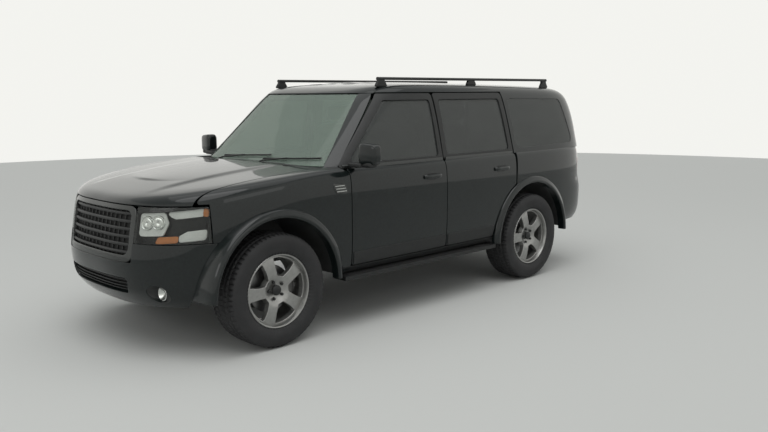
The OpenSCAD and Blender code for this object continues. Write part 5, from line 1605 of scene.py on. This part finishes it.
# %% [markdown]
# ## The cabin
# The seats are foam under leather: crowned cushions whose sides pull in, with sewn
# channels. They show through the glass and when a door is open, together with the dashboard, the
# wheel, the middle pillar and the headlining.

# %% Seats
def seat_cushion(name, lo, hi, channels=4, crown=0.03):
    """A crowned cushion whose top has sewn channels from front to back."""
    lo, hi = np.array(lo, float), np.array(hi, float)
    def shape(P):
        w, u, v = ((P - (lo + hi) / 2) / ((hi - lo) / 2)).T
        groove = np.exp(-((((u * channels / 2 + 0.5) % 1) - 0.5) / 0.10) ** 2)
        face = v > 0.5
        P[:, 2] -= face * groove * 0.008 * (np.abs(w) < 0.8) * (np.abs(u) < 0.8)
        P[:, 2] += crown * face * (1 - u ** 2) * (1 - w ** 2) - crown * face
        return P
    return soft_box(name, lo, hi, leather, cuts=14, shape=shape, power=7.0)

floor_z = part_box("seats")[0].z - 0.018
front_x = x_bpillar + 0.140

def seat(tag, x, y, w):
    """One seat: cushion, back, plinth and as many headrests as it has places."""
    z = floor_z
    cushion = seat_cushion(f"seat_cushion_{tag}", (x + 0.10, y - w / 2 + 0.003, z + 0.182),
        (x + 0.472, y + w / 2 - 0.003, z + 0.312))
    base = soft_box(f"seat_base_{tag}", (x + 0.10, y - w / 2 + 0.07, z + 0.022),
                    (x + 0.42, y + w / 2 - 0.07, z + 0.19), trim_dark, cuts=5, power=8.0)
    def back_shape(P):
        t = (P[:, 2] - z - 0.29) / 0.585
        P[:, 0] = P[:, 0] - 0.165 * t
        g = np.exp(-((((P[:, 2] - z) * 12 + 0.5) % 1 - 0.5) / 0.10) ** 2)
        edge = np.abs(P[:, 1] - y) / (w / 2)
        P[:, 0] -= (P[:, 0] > x + 0.03 - 0.165 * t) * g * 0.006 * (edge < 0.72)
        return P
    back = soft_box(f"seat_back_{tag}", (x - 0.005, y - w / 2 + 0.005, z + 0.290),
                    (x + 0.108, y + w / 2 - 0.005, z + 0.876), leather, cuts=14, shape=back_shape, power=6.0)
    pads = [cushion, back]
    rests = 1 if w < 0.8 else 3
    for k in range(rests):
        yc = y + (k - (rests - 1) / 2) * 0.42
        def rest_shape(P):
            P[:, 0] -= 0.13 * (P[:, 2] - z - 0.90)
            return P
        pads.append(soft_box(f"seat_headrest_{tag}_{k + 1}", (x - 0.150, yc - 0.128, z + 0.900),
            (x - 0.068, yc + 0.128, z + 1.045), leather, cuts=7, shape=rest_shape, power=4.0))
        for q in (-0.05, 0.05):
            post = tube(f"headrest_post_{tag}_{k + 1}_{'a' if q < 0 else 'b'}",
                [(x - 0.100, yc + q, z + 0.840), (x - 0.106, yc + q, z + 0.915)], 0.006, bright, 8)
            place(post, "body", "seat_leather", "seats")
    for ob in pads:
        place(ob, "body", "seat_leather", "seats")
    place(base, "body", "seat_leather", "seats")
seat("driver", front_x, 0.390, 0.520)
seat("passenger", front_x, -0.390, 0.520)
seat("rear", front_x - 0.700, 0.0, 1.300)

# %% [markdown]
# Inside, the middle pillar and the sills have plain covers, and a cloth lining hides the roof's steel. The
# pillar is a section swept along a bent path. The lining is a grid hung below the roof's own curve.

# %% Pillars and headlining
for side, s in sides:
    y2 = half_w - 0.066 - 0.120 - 0.007 - 0.026
    y3 = half_w - 0.296
    mid_path = [(x_bpillar, s * (y2 - 0.025), floor_z), (x_bpillar, s * (y2 - 0.025), belt_z),
                (x_bpillar, s * (y3 + 0.009), door_high - 0.02),
                (x_bpillar, s * (y3 - 0.06), door_high + 0.02)]
    pts = []
    for p, q in zip(mid_path, mid_path[1:]):
        pts += [np.array(p) + (np.array(q) - np.array(p)) * t for t in np.linspace(0, 1, 8, endpoint=False)]
    pts.append(np.array(mid_path[-1]))
    pillar = swept_strip(f"middle_pillar_{side}", pts, np.tile([0.0, s, 0.0], (len(pts), 1)),
                         [(-0.022, -0.044), (0.014, -0.050), (0.020, -0.040), (0.020, 0.040), (0.014, 0.050),
                          (-0.022, 0.044)], trim_dark)
    place(pillar, "body", "trim_plastic", "body_sides")
    y1 = y2 + 0.026
    sill = soft_box(f"inner_sill_{side}", (axle_r + arch_r + 0.016, min(s * (y1 - 0.09), s * y1),
        sill_z + 0.030), (axle_f - arch_r - 0.016, max(s * (y1 - 0.09), s * y1), floor_z + 0.030), satin,
        cuts=4, power=14.0)
    place(sill, "body", "body_paint", "body_sides")
cols = []
for v in np.linspace(-1, 1, 31):
    y = v * 0.66
    xs = np.linspace(gate_hinge + 0.06, 0.24, 50)
    cols.append(np.stack([xs, np.full(50, y), cabin.height(xs, np.full(50, y), 0.012) - 0.040 - 0.03
        * v ** 6], -1))
lining = patch("headlining", np.array(cols), 0.006, headliner, 0.003)
place(lining, "body", "trim_plastic")

# %% [markdown]
# The dashboard's main body comes from the structure. What is added is what one sees over it: the hood of the
# instruments and the screen in the middle, both as soft boxes.

# %% Instrument hood and centre screen
dash = x_cowl - 0.060
for y, w, h in ((0.39, 0.30, 0.10), (0.0, 0.26, 0.15)):
    binnacle = soft_box("instrument_hood" if y else "centre_screen",
        (dash - 0.372, y - w / 2, belt_z - 0.155), (dash - 0.300, y + w / 2, belt_z - 0.155 + h),
        trim_dark if y else satin, cuts=6, power=6.0)
    place(binnacle, "body", "trim_plastic")

# %% [markdown]
# Frame, engine, axles and floor already have their true shape from the structure and are seen only in
# glimpses. They are kept as they are, and each only gets its finish.

# %% Finishes of the kept pieces
for node, mat in (("ladder_frame", chassis), ("engine", castings), ("drivetrain", castings),
                  ("exhaust", pipe), ("fuel_tank", plastic),
                  ("spare_wheel", rubber), ("front_suspension", chassis), ("rear_axle", chassis),
                  ("tow_receiver", chassis),
                  ("floor_pan", plastic), ("wheel_tubs", plastic), ("running_boards", satin),
                  ("dashboard", trim_dark),
                  ("steering_wheel", leather), ("knuckle_left", castings), ("knuckle_right", castings)):
    kept = nodes[node].data
    kept.materials.clear()
    kept.materials.append(mat)
print("cabin made")

# %% [markdown]
# ## Floor, light and camera
# A pale seamless floor and wall stand for a studio. Only rays from the camera, and mirror and glass
# rays, see them bright, so the dark paint has something pale to reflect while the lamps stay plain.

# %% Stage
def stage_material(name, shade, wall=False):
    """A plain matt paint. A wall's paint glows for the rays that see it, and lets all others through."""
    m = bpy.data.materials.new(name)
    m.use_nodes = True
    t = m.node_tree
    bsdf = t.nodes["Principled BSDF"]
    bsdf.inputs["Base Color"].default_value = (*shade, 1)
    bsdf.inputs["Roughness"].default_value = 0.9
    bsdf.inputs["Specular IOR Level"].default_value = 0.1
    noise = add(m, "ShaderNodeTexNoise", Scale=1.5, Detail=3.0)
    bump = add(m, "ShaderNodeBump", Strength=0.02)
    t.links.new(noise.outputs["Fac"], bump.inputs["Height"])
    t.links.new(bump.outputs["Normal"], bsdf.inputs["Normal"])
    if wall:
        path = t.nodes.new("ShaderNodeLightPath")
        glow = t.nodes.new("ShaderNodeEmission")
        glow.inputs["Color"].default_value = (*shade, 1)
        clear = t.nodes.new("ShaderNodeBsdfTransparent")
        first, second = (add(m, "ShaderNodeMath") for _ in range(2))
        first.operation = second.operation = "MAXIMUM"
        t.links.new(path.outputs["Is Camera Ray"], first.inputs[0])
        t.links.new(path.outputs["Is Glossy Ray"], first.inputs[1])
        t.links.new(first.outputs[0], second.inputs[0])
        t.links.new(path.outputs["Is Transmission Ray"], second.inputs[1])
        blend = t.nodes.new("ShaderNodeMixShader")
        t.links.new(second.outputs[0], blend.inputs[0])
        t.links.new(clear.outputs[0], blend.inputs[1])
        t.links.new(glow.outputs[0], blend.inputs[2])
        t.links.new(blend.outputs[0], t.nodes["Material Output"].inputs["Surface"])
    return m

floor = mesh_object("floor", [(-60, -60, -0.002), (60, -60, -0.002), (60, 60, -0.002), (-60, 60, -0.002)],
                    [(0, 1, 2, 3)], None,
                    stage_material("floor_paint", (0.545, 0.555, 0.54)))
turn = np.linspace(0, 2 * math.pi, 97)[:-1]
ring_pts = [(17 * math.cos(t), 17 * math.sin(t), z) for z in (-0.002, 14.0) for t in turn]
wall = mesh_object("wall", ring_pts, [(i, (i + 1) % 96, 96 + (i + 1) % 96, 96 + i) for i in range(96)], None,
                   stage_material("wall_paint", (0.90, 0.90, 0.865), True))
world = bpy.data.worlds.new("studio")
bpy.context.scene.world = world
world.use_nodes = True
sky = world.node_tree
bg = sky.nodes["Background"]
bg.inputs["Color"].default_value = (0.82, 0.83, 0.82, 1)
bg.inputs["Strength"].default_value = 0.70
seen = sky.nodes.new("ShaderNodeBackground")
seen.inputs["Color"].default_value = (0.93, 0.93, 0.90, 1)
seen.inputs["Strength"].default_value = 1.0
path = sky.nodes.new("ShaderNodeLightPath")
mixer = sky.nodes.new("ShaderNodeMixShader")
sky.links.new(path.outputs["Is Camera Ray"], mixer.inputs[0])
sky.links.new(bg.outputs[0], mixer.inputs[1])
sky.links.new(seen.outputs[0], mixer.inputs[2])
sky.links.new(mixer.outputs[0], sky.nodes["World Output"].inputs["Surface"])

# %% [markdown]
# In a bright studio light comes from all sides, a little more from above. One strong lamp would draw hard
# shadows. So a very wide sun gives the soft direction, and three large weak areas put long highlights
# on the hood and the shoulders.

# %% Lamps
def area(name, at, toward, size, power):
    data = bpy.data.lights.new(name, "AREA")
    data.shape, data.size, data.size_y, data.energy = "RECTANGLE", size[0], size[1], power
    ob = new_object(name, data)
    ob.location = at
    ob.rotation_euler = (Vector(toward) - Vector(at)).to_track_quat("-Z", "Y").to_euler()

area("overhead", (0.6, 0.8, 5.6), (0, 0, 0.8), (7.0, 4.5), 60)
area("front_wash", (9.0, 1.5, 4.0), (1.5, 0.0, 0.8), (4.5, 2.2), 50)
area("side_wash", (0.0, 9.5, 4.6), (0.0, 0.5, 1.0), (7.0, 2.0), 30)
sun_data = bpy.data.lights.new("sky", "SUN")
sun_data.energy, sun_data.angle = 0.9, math.radians(50)
sun = new_object("sky", sun_data)
sun.rotation_euler = (math.radians(-18), math.radians(14), 0)
print("four lamps set")

# %% [markdown]
# A camera placed by hand never sits quite right, so its place, three angles and lens length are numbers.
# The three directions are worked out from the angles and set as the columns of its matrix.

# %% Camera
cam_data = bpy.data.cameras.new("camera")
cam = new_object("camera", cam_data)
place_of_eye = Vector((4.7534, 5.2555, 1.7494))
yaw, pitch, roll = (math.radians(v) for v in (225.8245, -8.8412, -0.3964))
ahead = Vector((math.cos(yaw) * math.cos(pitch), math.sin(yaw) * math.cos(pitch), math.sin(pitch)))
right = ahead.cross(Vector((0, 0, 1))).normalized()
up = right.cross(ahead)
sideways = right * math.cos(roll) + up * math.sin(roll)
upwards = -right * math.sin(roll) + up * math.cos(roll)
turned = Matrix((sideways, upwards, -ahead)).transposed()
cam.matrix_world = Matrix.Translation(place_of_eye) @ turned.to_4x4()
cam_data.sensor_width, cam_data.lens = 36.0, 36.9571875
bpy.context.scene.camera = cam
bpy.context.scene.view_settings.view_transform = "Standard"
print("camera at", [round(v, 2) for v in place_of_eye])
